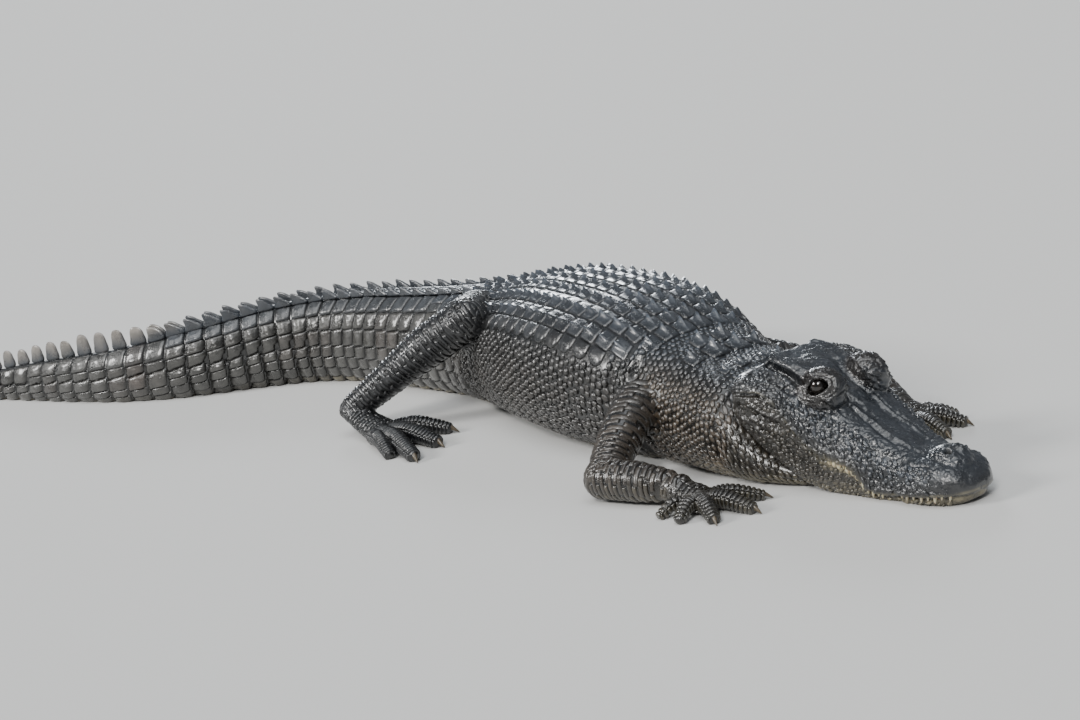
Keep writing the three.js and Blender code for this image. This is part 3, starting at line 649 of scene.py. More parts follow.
def jaw_ring(x):
    w = float(along(UPPER_HEAD, x, 1)) - float(along(LOWER_JAW, x, 1))
    lip = float(along(UPPER_HEAD, x, 2))
    low = float(along(LOWER_JAW, x, 2))
    side = [
        (w, lip), (w + 1, (lip + low) / 2), (w * 0.95, low + (lip - low) * 0.24),
        (w * 0.82, low + (lip - low) * 0.06), (w * 0.6, low),
    ]
    corners = [(x, y, z) for y, z in side] + [(x, 0, low)]
    return corners + [(x, -y, z) for y, z in reversed(side)] + [(x, w * s, lip) for s in (-0.5, 0, 0.5)]


HEAD_VOXEL = 2.4 * MM
HEAD_INSET = 1.0


def line_distance(points, line):
    """Distance of flat points from a line of points."""
    best = np.full(len(points), 1e9)
    line = np.asarray(line, float)
    for a, b in zip(line[:-1], line[1:]):
        span = b - a
        t = np.clip(((points - a) @ span) / (span @ span), 0, 1)
        best = np.minimum(best, np.linalg.norm(points - a - t[:, None] * span, axis=1))
    return best


# Relief of the head's skin, in millimetres.
KNOB_HEIGHT = 3.4  # on cheeks and snout
FOLD_HEIGHT = 1.8
JAW_KNOB_HEIGHT = 2.4
LID_KNOB_HEIGHT = 1.9
LIP_GROOVE = 6.5
TOOTH_PITCH = 19
# Lines drawn on the head seen from above: points (x, y), width, height.
TOP_LINES = [
    ([(172, 30), (208, 27), (262, 28), (300, 26), (340, 22)], 3.2, 3.2),
    ([(186, 34), (218, 36), (254, 38), (290, 38)], 3.4, -3.0),
    ([(166, 20), (205, 16), (246, 12), (300, 10)], 6.0, -1.6),
    ([(96, 50), (60, 57), (14, 58), (-2, 50)], 4.4, 5.2),
    ([(92, 24), (60, 26), (16, 22)], 12.0, -4.2),
    ([(30, 44), (54, 42), (78, 36)], 4.0, 2.2),
    ([(20, 34), (44, 36)], 3.4, -2.0),
    ([(-3, 52), (-6, 25), (-4, 0)], 6.0, 2.2),
    ([(100, 20), (132, 16), (164, 22), (176, 34)], 4.5, -3.4),
    ([(352, 0), (346, 14), (350, 30)], 3.2, -2.2),
    ([(318, 4), (312, 16), (316, 30)], 3.4, -1.2),
    ([(410, 0), (376, 0)], 4.0, -3.6),
    ([(96, 40), (110, 30), (112, 8), (108, 0)], 6.0, -2.4),
]
# The ear's slit under the edge of the table, its flap and the groove below, seen from above.
EAR_LINES = [
    ([(106, 74), (84, 72), (50, 71), (18, 71), (0, 68)], 3.6, -11.0),
    ([(104, 66), (84, 63), (50, 64), (16, 64)], 3.4, 2.6),
    ([(104, 84), (80, 86), (48, 86), (14, 82)], 4.4, 4.6),
    ([(98, 95), (72, 98), (38, 98)], 3.4, -3.4),
    ([(92, 106), (64, 110), (26, 112)], 4.4, 2.4),
]
# Lines drawn on its side: points (x, z), width, height.
SIDE_LINES = [
    ([(176, 152), (182, 140), (178, 114), (164, 104)], 4.6, -6.5),
    ([(156, 128), (166, 120)], 4.6, -7.0),
    ([(112, 164), (132, 166), (152, 156), (168, 136)], 3.4, 3.2),
    ([(190, 146), (194, 128), (186, 104)], 5.0, 2.6),
    ([(160, 112), (132, 112), (104, 124)], 3.0, -3.4),
    ([(164, 103), (132, 103), (98, 115)], 3.0, -2.4),
    ([(250, 32), (232, 44), (206, 48), (176, 52)], 5.0, 2.6),
    ([(2, 100), (5, 82), (14, 67), (37, 57), (58, 44), (84, 26)], 3.4, 3.6),
    ([(-6, 96), (-3, 74), (6, 56), (28, 40), (54, 24), (84, 4)], 4.2, 3.4),
    ([(9, 84), (20, 70), (42, 60), (62, 50)], 3.2, -3.6),
    ([(30, 93), (58, 90), (92, 82)], 4.0, 3.4),
    ([(40, 79), (64, 77), (90, 71)], 6.0, -5.5),
    ([(36, 66), (66, 62), (96, 56)], 5.0, 2.2),
]


def shape_head(obj):
    """Ridges, folds, nostrils and wrinkled cheeks, as moves of the head's skin along its normals."""
    world = points_of(obj)
    normals = normals_of(obj)
    h = to_head(world)
    n = normals @ head_axes
    x, y, z = h[:, 0], np.abs(h[:, 1]), h[:, 2]
    flat_top = smoothstep(0.25, 0.75, n[:, 2])
    flank = smoothstep(0.3, 0.8, np.abs(n[:, 1]))
    move = np.zeros(len(h))
    lip = along(UPPER_HEAD, x, 2)
    upper = smoothstep(-3, 3, z - lip)
    for line, width, height in TOP_LINES:
        distance = line_distance(np.stack([x, y], 1), line)
        move += height * bell(distance, width) * flat_top * (z > lip + 20)
    for line, width, height in SIDE_LINES:
        distance = line_distance(np.stack([x, z], 1), line)
        move += height * bell(distance, width) * flank
    beside_table = (z > 122) & (z < 156) & (x < 112)
    for line, width, height in EAR_LINES:
        distance = line_distance(np.stack([x, y], 1), line)
        move += height * bell(distance, width) * beside_table
    nostril = np.hypot(x - NOSTRIL[0], (y - NOSTRIL[1]) * 1.25)
    move += (4.2 * bell(nostril - 10, 3.2) - 11 * bell(nostril, 4.8)) * flat_top
    # The lips swell over each tooth, and part in a groove.
    swell = np.cos((x - 8) * 2 * math.pi / TOOTH_PITCH) * 0.5 + 0.5
    edge = bell(z - lip - 7, 8) * flank * smoothstep(150, 200, x)
    move += 2.6 * swell * edge
    move += 1.2 * bell(z - lip - 4, 2.6) * flank * smoothstep(-12, 4, x)
    move -= LIP_GROOVE * bell(z - lip + 1, 3.2) * flank * smoothstep(-12, 4, x)
    # Cheeks and the sides of the snout are rough with knobs and ridges that run down to the front.
    eye_far = eye_distance(h)
    clear = smoothstep(34, 44, eye_far)
    run = np.stack([x * 0.8 - z * 0.6, y, x * 0.6 + z * 0.8], 1)
    grain = grains(run * [0.72, 0.6, 1.1] + cloud(h, 16, 3)[:, None] * 3, 8.4, 11, 0.02, 0.5) - 0.5
    folds = 1 - 2 * np.abs(cloud(run * [0.42, 0.7, 1.0], 9, 13, 2))
    rough = smoothstep(0.1, 0.6, np.abs(n[:, 1])) * upper * smoothstep(-10, 30, x) * clear
    rough = rough * smoothstep(440, 380, x)
    below_ear = 1 - 0.75 * smoothstep(112, 96, x) * smoothstep(118, 128, z)
    move += (grain * KNOB_HEIGHT + folds * FOLD_HEIGHT) * rough * below_ear
    jaw_side = (1 - upper) * smoothstep(0.2, 0.7, np.abs(n[:, 1]))
    grain = grains(h * [0.7, 1, 1] + cloud(h, 20, 15)[:, None] * 3, 8.0, 23, 0.02, 0.4)
    move += (grain - 0.6) * JAW_KNOB_HEIGHT * jaw_side
    # The top is wrinkled and pitted.
    cracks = grains(h * [0.6, 1, 1] + cloud(h, 22, 7)[:, None] * 4, 9.5, 29, 0.14, 0.0)
    move -= cracks * 0.9 * flat_top * clear
    move += cloud(h, 26, 5, 2) * 2.4 * flat_top * clear
    move += cloud(h, 6, 9, 2) * 1.2 * flat_top
    # Folds round the lids' opening, and crinkles over the whole mound.
    for side in (-1, 1):
        out, ahead, up = gaze(side)
        offset = h - eye_centre(side)
        across, lift = offset @ ahead, offset @ up
        ring = np.hypot((across - 2) / 25, (lift + across * 0.3) / 19)
        near = (offset @ out > 0) * smoothstep(2.3, 1.3, ring) * smoothstep(0.98, 1.1, ring)
        move += 1.5 * np.cos((ring - 1) * 2 * math.pi / 0.36 + cloud(h, 10, 33) * 1.5) * near
    lid = smoothstep(46, 34, eye_far) * smoothstep(6, 14, z - lip - 40)
    grain = grains(h + cloud(h, 12, 35)[:, None] * 2, 6.0, 37, 0.02, 0.4)
    move += (grain - 0.6) * LID_KNOB_HEIGHT * lid
    set_points(obj, world + normals * move[:, None])


def eye_centre(side):
    return EYE * [1, side, 1]


def eye_distance(h):
    """Distance of points in the head's frame from the eye on their own side."""
    return np.linalg.norm(np.stack([h[:, 0], np.abs(h[:, 1]), h[:, 2]], 1) - EYE, axis=1)


def gaze(side):
    """The eye's outward direction and two directions across it, forward and up."""
    out = np.array([0.38, 0.88 * side, 0.26])
    out /= np.linalg.norm(out)
    ahead = np.array([1, 0, 0]) - out * out[0]
    ahead /= np.linalg.norm(ahead)
    up = np.cross(ahead, out) * -side
    return out, ahead, up


def eye_opening(side, angle, grow=0.0, radius=1.0):
    """A point of the eye's almond opening, low in front, on a ball round the eye."""
    out, ahead, up = gaze(side)
    across = np.where(np.cos(angle) > 0, 24.0 + grow, 19.0 + grow) * np.cos(angle)
    lift = (18.0 + grow) * np.sin(angle) * (0.66 + 0.34 * np.abs(np.sin(angle)))
    lift = lift - 0.36 * across + 1.0
    depth = np.sqrt(np.maximum(radius**2 - across**2 - lift**2, 1))
    offset = ahead * across[:, None] + up * lift[:, None] + out * depth[:, None]
    return eye_centre(side) + offset


def make_head():
    rows = np.arange(-34, 455.1, 3.5)
    upper = loft("upper", [from_head(smooth_ring(upper_ring(x), 90)) for x in rows])
    jaw_rows = np.arange(-34, 449.1, 3.5)
    jaw = loft("jaw", [from_head(smooth_ring(jaw_ring(x), 70)) for x in jaw_rows])
    pieces = [upper, jaw, ball(NOSE_BULB["centre"], NOSE_BULB["radii"])]
    for side in (-1, 1):
        for mound in (LID_MOUND, JAW_MUSCLE, LID_ROOT):
            centre = np.array(mound["centre"]) * [1, side, 1]
            pieces.append(ball(centre, np.array(mound["radii"]) - HEAD_INSET))
    head = join(pieces, "head_skin")
    apply(head, "REMESH", mode="VOXEL", voxel_size=HEAD_VOXEL)
    apply(head, "SMOOTH", factor=0.5, iterations=11)
    for side in (-1, 1):
        angle = np.linspace(0, 2 * math.pi, 40, endpoint=False)
        near = eye_opening(side, angle, radius=26)
        out = gaze(side)[0]
        centre = eye_centre(side)
        rings = [centre + (near - centre) * 0.25 + out * 2, near, near + out * 30]
        cutter = loft("opening", [from_head(ring) for ring in rings])
        combine(head, cutter, "DIFFERENCE")
        combine(head, ball(centre, np.full(3, EYE_RADIUS + 0.4)), "DIFFERENCE")
    shape_head(head)
    floor_points = points_of(head)
    floor_points[:, 2] = np.maximum(floor_points[:, 2], 0.3)
    set_points(head, floor_points)
    return head


# The whole skin.
BODY_VOXEL = 5 * MM
# Folds across the body, on both sides: distance q where it starts on the back and where it ends
# below, depth, width, and the shares of the height between which it lies.
FOLDS = [
    (676, 664, 16, 11, 0.05, 0.86),
    (640, 628, 4, 8, 0.1, 0.8),
    (598, 590, 4, 8, 0.15, 0.75),
    (436, 452, 5, 8, 0.1, 1.0),
    (716, 730, 4, 9, 0.3, 0.8),
    (1404, 1392, 7, 12, 0.1, 0.7),
    (1452, 1446, 5, 10, 0.1, 0.7),
]
TAIL_FOLDS = {"first": 2070, "last": 2440, "depth": 5.0, "width": 9.0}
TAIL_GROOVE = {"first": 1950, "last": 3180, "share": 0.5, "depth": 6.0}


def fold_body(obj):
    """Presses the folds of neck, shoulder, hip and of the tail's hollow side into the skin."""
    points = points_of(obj)
    q, left = body_coordinates(points)
    share = points[:, 2] / along(FLESH, q, 2)
    depth = np.zeros(len(points))
    wobble = cloud(points, 60, 71) * 7
    for top_q, low_q, deep, wide, low, high in FOLDS:
        line = low_q + (top_q - low_q) * share + wobble
        inside = smoothstep(low - 0.1, low + 0.05, share) * smoothstep(high + 0.1, high - 0.1, share)
        depth += deep * bell(q - line, wide) * inside
    hollow = smoothstep(TAIL_FOLDS["first"] - 60, TAIL_FOLDS["first"] + 60, q)
    hollow *= smoothstep(TAIL_FOLDS["last"] + 60, TAIL_FOLDS["last"] - 60, q) * (left < 0)
    for end in band_ends:
        crease = bell(q - end - (share - 0.5) * 16, TAIL_FOLDS["width"])
        depth += crease * (TAIL_FOLDS["depth"] * hollow + 1.2 * (q > 1500)) * smoothstep(0.95, 0.75, share)
    groove = smoothstep(TAIL_GROOVE["first"], TAIL_GROOVE["first"] + 200, q)
    groove *= smoothstep(TAIL_GROOVE["last"], TAIL_GROOVE["last"] - 150, q)
    depth += TAIL_GROOVE["depth"] * groove * bell(share - TAIL_GROOVE["share"], 0.07)
    on_body = 1 - limb_share(points)
    set_points(obj, points - normals_of(obj) * (depth * on_body)[:, None])


def limb_share(points):
    """How far a point belongs to a limb rather than to the body, from 0 to 1."""
    q, left = body_coordinates(points)
    out = np.abs(left) - along(FLESH, q, 1)
    return smoothstep(-14, 22, out) * (q > 480)


limbs = {
    (kind, word): limb_parts(side, word, kind, plan, 0) for word, side in SIDES for kind, plan in LIMB_PLANS
}


def make_skin():
    body_rings = [body_ring(q, SKIN_DEPTH, 81)[:-1] for q in np.arange(232, TOTAL_LENGTH - 3, 8)]
    pieces = [loft("body", body_rings)]
    small = []
    for word, side in SIDES:
        for kind, plan in LIMB_PLANS:
            parts = limb_parts(side, word, kind, plan, SKIN_DEPTH * 0.7)
            pieces += [loft(length, parts[length].rings()) for length in ("upper", "lower", "palm")]
            small += [loft("digit", digit.rings(15)) for digit in parts["digits"] + parts["webs"]]
    skin = join(pieces, "skin")
    apply(skin, "REMESH", mode="VOXEL", voxel_size=BODY_VOXEL)
    apply(skin, "SMOOTH", factor=0.5, iterations=6)
    fold_body(skin)
    apply(skin, "DECIMATE", ratio=0.36)
    for piece in small:
        combine(skin, piece, "UNION")
    combine(skin, make_head(), "UNION")
    smooth_junction(skin)
    return skin


def smooth_junction(obj):
    """Blends the back of the head and jaw into the neck."""
    h = to_head(points_of(obj))
    near = smoothstep(-62, -36, h[:, 0]) * smoothstep(6, -22, h[:, 0]) * (np.abs(h[:, 1]) < 175)
    group = obj.vertex_groups.new(name="junction")
    for level in range(1, 6):
        chosen = np.nonzero(np.round(near * 5) == level)[0].tolist()
        if chosen:
            group.add(chosen, level / 5, "REPLACE")
    apply(obj, "SMOOTH", factor=0.6, iterations=14, vertex_group="junction")


skin = make_skin()
skin_tree = BVHTree.FromPolygons(
    [tuple(p) for p in points_of(skin)], [tuple(p.vertices) for p in skin.data.polygons]
)

# Colours of the hide, as seen wet.
# SLATE, laid on the top of the back, tail and head, is the hide's own dark tone with a painted bluish
# reflection of the sky; SNOUT_BLUE paints the same sheen higher on the head.
SLATE = linear("#3d434b")
CHARCOAL = linear("#262524")
FLANK_BROWN = linear("#2e2720")
NECK_BROWN = linear("#5c4f40")
BELLY_CREAM = linear("#8e8468")
JAW_CREAM = linear("#9a9072")
JAW_GREY = linear("#3a352d")
LIMB_BLACK = linear("#141517")
TAIL_GREY = linear("#42413e")
TAIL_RUST = linear("#5d453a")
CREST_PALE = linear("#857f77")
HEAD_GREY = linear("#313234")
SNOUT_BLUE = linear("#2f343b")
LID_BROWN = linear("#211b17")
WET_SHARE = 0.56  # of its dry colour, which wet hide keeps


def mix(a, b, share):
    share = np.asarray(share)[..., None]
    return a * (1 - share) + b * share


def hide_colour(points, limb=None):
    """The hide's colour at points in millimetres: the same markings, painted sky sheen on the top and painted
    shade in mouth, nostrils and ear, for skin and scales.
    """
    q, left = body_coordinates(points)
    height = points[:, 2] / along(FLESH, q, 2)
    patches = cloud(points, 90, 41, 3)
    fine = cloud(points, 14, 43, 2)
    # The top turns from charcoal to slate: painted bluish sky sheen over the hide's own dark tone.
    colour = mix(CHARCOAL, SLATE, smoothstep(0.72, 0.96, height + patches * 0.08))
    brown = smoothstep(0.75, 0.45, height) * (0.5 + 0.4 * patches)
    colour = mix(colour, FLANK_BROWN, np.clip(brown, 0, 1))
    neck = smoothstep(690, 600, q) * smoothstep(1.0, 0.72, height)
    colour = mix(colour, NECK_BROWN, neck * (0.7 + 0.3 * patches))
    belly = smoothstep(0.07, 0.0, height + patches * 0.02)
    colour = mix(colour, BELLY_CREAM, belly * 0.7)
    tail = smoothstep(1480, 1620, q)
    # The top of the tail turns slate, with the same painted sky sheen.
    colour = mix(colour, mix(TAIL_GREY, SLATE, smoothstep(0.8, 1.0, height)), tail * (1 - belly))
    rust = np.clip(cloud(points, 120, 47, 2) * 1.6 - 0.3, 0, 1) * tail * smoothstep(0.1, 0.3, height)
    colour = mix(colour, TAIL_RUST, rust * 0.3 * smoothstep(0.95, 0.75, height))
    throat = smoothstep(60, 8, points[:, 2]) * smoothstep(600, 480, q)
    colour = mix(colour, JAW_CREAM, throat * 0.35)
    h = to_head(points)
    x, wide, above_lip = h[:, 0], np.abs(h[:, 1]), h[:, 2] - along(UPPER_HEAD, h[:, 0], 2)
    on_head = smoothstep(-26, -8, x) * (q < 470)
    # Higher on the head the grey turns blue, and the top behind the eyes turns slate: painted bluish sky
    # sheen.
    head = mix(HEAD_GREY, SNOUT_BLUE, smoothstep(0.2, 0.8, above_lip / 60 + patches * 0.3))
    head = mix(head, SLATE, smoothstep(80, 20, x) * smoothstep(20, 50, above_lip) * 0.5)
    eye_far = eye_distance(h)
    head = mix(head, LID_BROWN, smoothstep(52, 38, eye_far) * 0.92)
    jaw = smoothstep(3, -4, above_lip)
    head = mix(head, JAW_GREY, jaw)
    edge = smoothstep(38, 4, points[:, 2] + fine * 10) * jaw
    head = mix(head, JAW_CREAM, edge * (0.35 + 0.3 * patches))
    lips = bell(above_lip + 5, 6) * smoothstep(96, 190, x)
    head = mix(head, JAW_CREAM, np.clip(lips * (0.4 + 0.9 * fine), 0, 0.8))
    notch = smoothstep(150, 190, x) * smoothstep(272, 254, x) * bell(above_lip + 3, 10)
    head = mix(head, JAW_CREAM * 1.25, notch * 0.8)
    muscle = np.exp(-(((x - 65) / 26) ** 2) - ((h[:, 2] - 76) / 8) ** 2) * (wide > 90)
    head = head * (1 - 0.6 * muscle[:, None])
    seam = smoothstep(0, 30, x) * (wide > along(UPPER_HEAD, x, 1) - 16)
    lip_edge = bell(above_lip - 4.6, 2.2) * seam
    head = mix(head, JAW_CREAM, lip_edge * (0.4 + 0.4 * fine))
    # Painted shade: a dark line along the gap of the mouth, under the upper lip.
    mouth = bell(above_lip + 0.6, 2.8) * seam
    head = head * (1 - 0.95 * mouth[:, None])
    # Painted shade inside the nostrils.
    nostril = np.hypot(x - NOSTRIL[0], wide - NOSTRIL[1]) + 3 * (h[:, 2] < 80)
    head = head * np.where(nostril < 5.5, 0.15, 1)[:, None]
    colour = mix(colour, head, on_head)
    if limb is not None:
        colour = mix(colour, LIMB_BLACK, limb)
    # Painted shade in the ear's slit under the edge of the table.
    ear = line_distance(np.stack([x, wide], 1), EAR_LINES[0][0]) < 3.6
    slit = ear & (h[:, 2] > 122) & (h[:, 2] < 152) & (x < 108)
    colour = colour * np.where(slit, 0.25, 1)[:, None]
    return np.maximum(colour * WET_SHARE * (1 + 0.36 * fine[:, None] + 0.2 * patches[:, None]), 0.003)


def set_colours(obj, colours):
    layer = obj.data.color_attributes.new("hide", "FLOAT_COLOR", "POINT")
    values = np.ones((len(colours), 4))
    values[:, :3] = np.clip(colours, 0, 1)
    layer.data.foreach_set("color", values.ravel())


# Scales, each modelled once.
class Template:
    """The points and faces of one scale, from -1 to 1 along, across and up from its root."""

    def __init__(self, obj):
        self.points = points_of(obj) * MM
        self.faces = [tuple(p.vertices) for p in obj.data.polygons]
        bpy.data.objects.remove(obj)


def pebble(sides=7, shoulder=0.74, crown=0.34):
    """A low round scale: a straight root wall, a shoulder and a domed top."""
    deselect()
    bpy.ops.mesh.primitive_circle_add(vertices=sides, radius=1, fill_type="NGON", location=(0, 0, -1))
    obj = bpy.context.object
    bpy.ops.object.mode_set(mode="EDIT")
    for rise, size in ((1.3, 1.0), (0.45, shoulder), (0.22, crown / shoulder)):
        bpy.ops.mesh.extrude_region_move(TRANSFORM_OT_translate={"value": (0, 0, rise)})
        bpy.ops.transform.resize(value=(size, size, 1), center_override=(0, 0, 0))
    bpy.ops.object.mode_set(mode="OBJECT")
    settle(obj)
    face_outwards(obj)
    return Template(obj)


def plate(columns, rows, height, outline=None):
    """A scale raised from a grid: height(x, y) gives its upper face, outline(x, y) its edge."""
    deselect()
    bpy.ops.mesh.primitive_grid_add(x_subdivisions=columns, y_subdivisions=rows, size=2, location=(0, 0, 0))
    obj = bpy.context.object
    bpy.ops.object.mode_set(mode="EDIT")
    bpy.ops.mesh.select_all(action="SELECT")
    bpy.ops.mesh.region_to_loop()
    bpy.ops.mesh.extrude_region_move(TRANSFORM_OT_translate={"value": (0, 0, -1)})
    bpy.ops.mesh.edge_face_add()
    bpy.ops.object.mode_set(mode="OBJECT")
    settle(obj)
    points = points_of(obj) * MM
    raised = points[:, 2] > -0.5
    x, y = points[:, 0].copy(), points[:, 1].copy()
    points[raised, 2] = height(x[raised], y[raised])
    if outline is not None:
        points[:, 0], points[:, 1] = outline(x, y)
    set_points(obj, points / MM)
    face_outwards(obj)
    return Template(obj)


def rim(x, y, width=0.2):
    """From 0 at the edge of a square scale to 1 inside it."""
    inside = np.minimum(1 - np.abs(x), 1 - np.abs(y))
    return smoothstep(0, width, inside)


def rounded(amount):
    """An outline that pulls a square scale's corners in."""

    def move(x, y):
        far = np.maximum(np.abs(x), np.abs(y))
        circle = np.hypot(x, y)
        share = np.where(circle > 0, far / np.maximum(circle, 1e-6), 1)
        scale = 1 - amount * (1 - share) * far
        return x * scale, y * scale

    return move


def keeled_height(x, y):
    """A slab whose sides rise to a sharp keel, which is highest near the back edge."""
    profile = (0.1 + 0.9 * smoothstep(-0.9, 0.72, x) ** 1.3) * smoothstep(1.02, 0.8, x)
    tent = 0.22 * (1 - np.abs(y)) ** 1.4 + 0.62 * np.exp(-np.abs(y) / 0.13)
    return rim(x, y, 0.16) * 0.2 + tent * profile


def low_keel_height(x, y):
    ridge = bell(y, 0.28) * smoothstep(-1, 0.5, x) * smoothstep(1.0, 0.6, x)
    return rim(x, y, 0.3) * (0.45 + 0.2 * (1 - y * y)) + ridge * 0.35


def slab_height(x, y):
    return rim(x, y, 0.26) * (0.75 + 0.25 * (1 - x * x) * (1 - y * y))


def band_height(x, y):
    """A long flat scale, rounded across, with dents along its length."""
    return rim(x, y, 0.14) * (0.5 + 0.5 * (1 - x * x) + 0.1 * np.cos(y * 9 + x))


def tail_height(x, y):
    """A puffed plate with a few shallow wrinkles down it."""
    puff = (1 - 0.5 * x * x) * (1 - 0.2 * y * y)
    ends = smoothstep(0, 0.24, 1 - np.abs(x)) * (0.5 + 0.5 * smoothstep(0, 0.2, 1 - np.abs(y)))
    wrinkles = 0.14 * np.cos(x * 5 + y * 2.2) + 0.12 * np.cos(y * 7.5 + x * 2) * np.cos(x * 3)
    return np.where(rim(x, y, 0.01) > 0, ends * (0.5 + 0.4 * puff + wrinkles), 0)


def fold_outline(x, y):
    """The outer half of the scale is drawn into an arc."""
    out = np.clip(y, 0, 1)
    return x * (1 - 0.45 * out * out * np.abs(x)), y * (1 - 0.32 * np.clip(np.abs(x), 0, 1) ** 2 * out)


def mirrored_outline(x, y):
    x, y = fold_outline(x, -y)
    return x, -y


PEBBLE = pebble(7)
SMALL_PEBBLE = pebble(6, 0.7, 0.3)
KEELED = plate(10, 14, keeled_height, rounded(0.16))
ARCED = plate(8, 9, low_keel_height, fold_outline)
MIRRORED_ARC = plate(8, 9, low_keel_height, mirrored_outline)
SLAB = plate(5, 6, slab_height, rounded(0.28))
BAND = plate(5, 13, band_height, rounded(0.05))
TAIL_SLAB = plate(8, 9, tail_height, rounded(0.08))

rng = np.random.default_rng(7)
PATCH = 0.0015  # half the size of a scale's patch on the unwrap
ATLAS = {}


def atlas(chart, u, v):
    """The place of a chart's point on the unwrap of the whole skin."""
    names = ["body", "head", "jaw"]
    if chart.name in names:
        low = {"body": (0.0, 0.0, 1.0, 0.5), "head": (0.0, 0.5, 0.3, 0.25), "jaw": (0.0, 0.75, 0.3, 0.25)}
        left, bottom, wide, high = low[chart.name]
    else:
        slot = ATLAS.setdefault(chart.name, len(ATLAS))
        left, bottom, wide, high = 0.31 + (slot % 8) * 0.085, 0.51 + (slot // 8) * 0.09, 0.08, 0.08
    across = (u - chart.rows[0]) / (chart.rows[-1] - chart.rows[0])
    round_it = v / chart.girth.max() + 0.5
    return np.stack([left + across * wide, bottom + round_it * high], -1)


class Coat:
    """Scales laid over charts and joined into one piece."""

    def __init__(self, name):
        self.name = name
        self.points, self.faces, self.uvs, self.colours = [], [], [], []
        self.count = 0

    def lay(self, template, chart, u, v, length, width, height, *, turn=0.0, root=3.0, limb=0.0,
            tint=None, tip=0.0, skew=0.0, reach=5.0, keep=None):
        """Copies a scale to each place (u, v), in its size, sunk by root, with painted shade on its root and
        lower sides and a painted highlight on its upper half, as strong as tip.
        """
        u, v, length, width, height, turn, skew, limb = (
            np.broadcast_to(np.asarray(a, float), np.shape(u)).copy()
            for a in (u, v, length, width, height, turn, skew, limb)
        )
        base = chart.point(u, v)
        outward = orientation(chart)
        found = [skin_tree.find_nearest(p) for p in base]
        near = np.array([hit[3] for hit in found])
        facing = (np.array([tuple(hit[1]) for hit in found]) * chart.normal(u, v)).sum(1) * outward
        good = (near < reach) & (facing > 0.3)
        if keep is not None:
            good &= keep
        u, v, length, width, height, turn, skew, limb, base = (
            a[good] for a in (u, v, length, width, height, turn, skew, limb, base)
        )
        if not len(u):
            return
        x, y, z = template.points.T
        along_u = x * length[:, None] / 2
        along_v = y * width[:, None] / 2
        c, s = np.cos(turn)[:, None], np.sin(turn)[:, None]
        du = along_u * c - along_v * s + skew[:, None] * along_v
        dv = along_u * s + along_v * c
        uu, vv = u[:, None] + du, v[:, None] + dv
        surface = chart.point(uu, vv)
        normal = chart.normal(uu, vv)
        flat = surface.reshape(-1, 3)
        moved = np.array([nearest_on_skin(p) for p in flat]).reshape(surface.shape)
        lift = np.where(z > 0, z * height[:, None], z * root)
        points = moved + normal * outward * lift[..., None]
        points[..., 2] = np.maximum(points[..., 2], 0.1)
        number = len(template.points)
        colour = hide_colour(base, limb) * rng.uniform(0.8, 1.2, (len(u), 1))
        if tint is not None:
            colour = tint(colour, base, u, v)
        level = np.clip(z, 0, 1)[None, :, None]
        # Painted shade darkens the root wall and lower sides, down in the gaps between scales; tip paints a
        # highlight on the upper half.
        painted_shade_and_highlight = 0.16 + 0.84 * smoothstep(0.0, 0.4, level) + tip * smoothstep(0.5, 1.0, level)
        self.colours.append((colour[:, None, :] * painted_shade_and_highlight).reshape(-1, 3))
        patch = np.stack([x, y], -1) * PATCH
        self.uvs.append((atlas(chart, u, v)[:, None, :] + patch[None]).reshape(-1, 2))
        start = self.count + np.arange(len(u)) * number
        flip = outward < 0
        for face in template.faces:
            order = face[::-1] if flip else face
            self.faces += (start[:, None] + np.array(order)[None]).tolist()
        self.points.append(points.reshape(-1, 3))
        self.count += len(u) * number

    def add(self, points, faces, colours, uvs):
        """Adds a form of its own, whose faces count from the coat's first point."""
        self.faces += faces
        self.points.append(points)
        self.count += len(points)
        self.colours.append(colours)
        self.uvs.append(uvs)

    def finish(self, material):
        obj = make_object(self.name, np.vstack(self.points), self.faces)
        set_colours(obj, np.vstack(self.colours))
        uv = obj.data.uv_layers.new(name="OFBake")
        corners = np.empty(len(obj.data.loops), np.int32)
        obj.data.loops.foreach_get("vertex_index", corners)
        uv.data.foreach_set("uv", np.vstack(self.uvs)[corners].ravel())
        obj.data.polygons.foreach_set("use_smooth", [True] * len(obj.data.polygons))
        obj.data.materials.append(material)
        return obj


def nearest_on_skin(point):
    return skin_tree.find_nearest(point)[0]


def orientation(chart):
    """1 where a chart's normals point outwards, -1 where they point in."""
    u = chart.rows[len(chart.rows) // 2]
    row = chart.grid[len(chart.rows) // 2]
    outwards = chart.point(u, 0.0) - row.mean(0)
    return 1 if chart.normal(u, 0.0) @ outwards > 0 else -1


# Layouts.


def grid_places(u_low, u_high, v_low, v_high, pitch_u, pitch_v, jitter=0.18, grade=0.0):
    """Places in offset rows, a little uneven, which a grade spaces closer or wider from low to high."""
    us, vs, sizes = [], [], []
    row_count = max(1, round((u_high - u_low) / pitch_u))
    for i in range(row_count):
        u = u_low + (i + 0.5) * (u_high - u_low) / row_count
        low, high = v_low(u) if callable(v_low) else v_low, v_high(u) if callable(v_high) else v_high
        number = max(0, round((high - low) / pitch_v))
        shift = 0.5 if i % 2 else 0.0
        for k in range(number):
            share = (k + 0.25 + shift) / number
            us.append(u)
            vs.append(low + (share + grade * share * (share - 1)) * (high - low))
            sizes.append(1 + grade * (2 * share - 1))
    us, vs, sizes = np.array(us), np.array(vs), np.array(sizes)
    us = us + rng.uniform(-jitter, jitter, len(us)) * pitch_u
    vs = vs + rng.uniform(-jitter, jitter, len(vs)) * pitch_v
    return us, vs, sizes


def vary(value, count, share=0.15):
    return value * (1 + rng.uniform(-share, share, count))


def girth_at(u):
    return float(body_chart.half_girth(u))


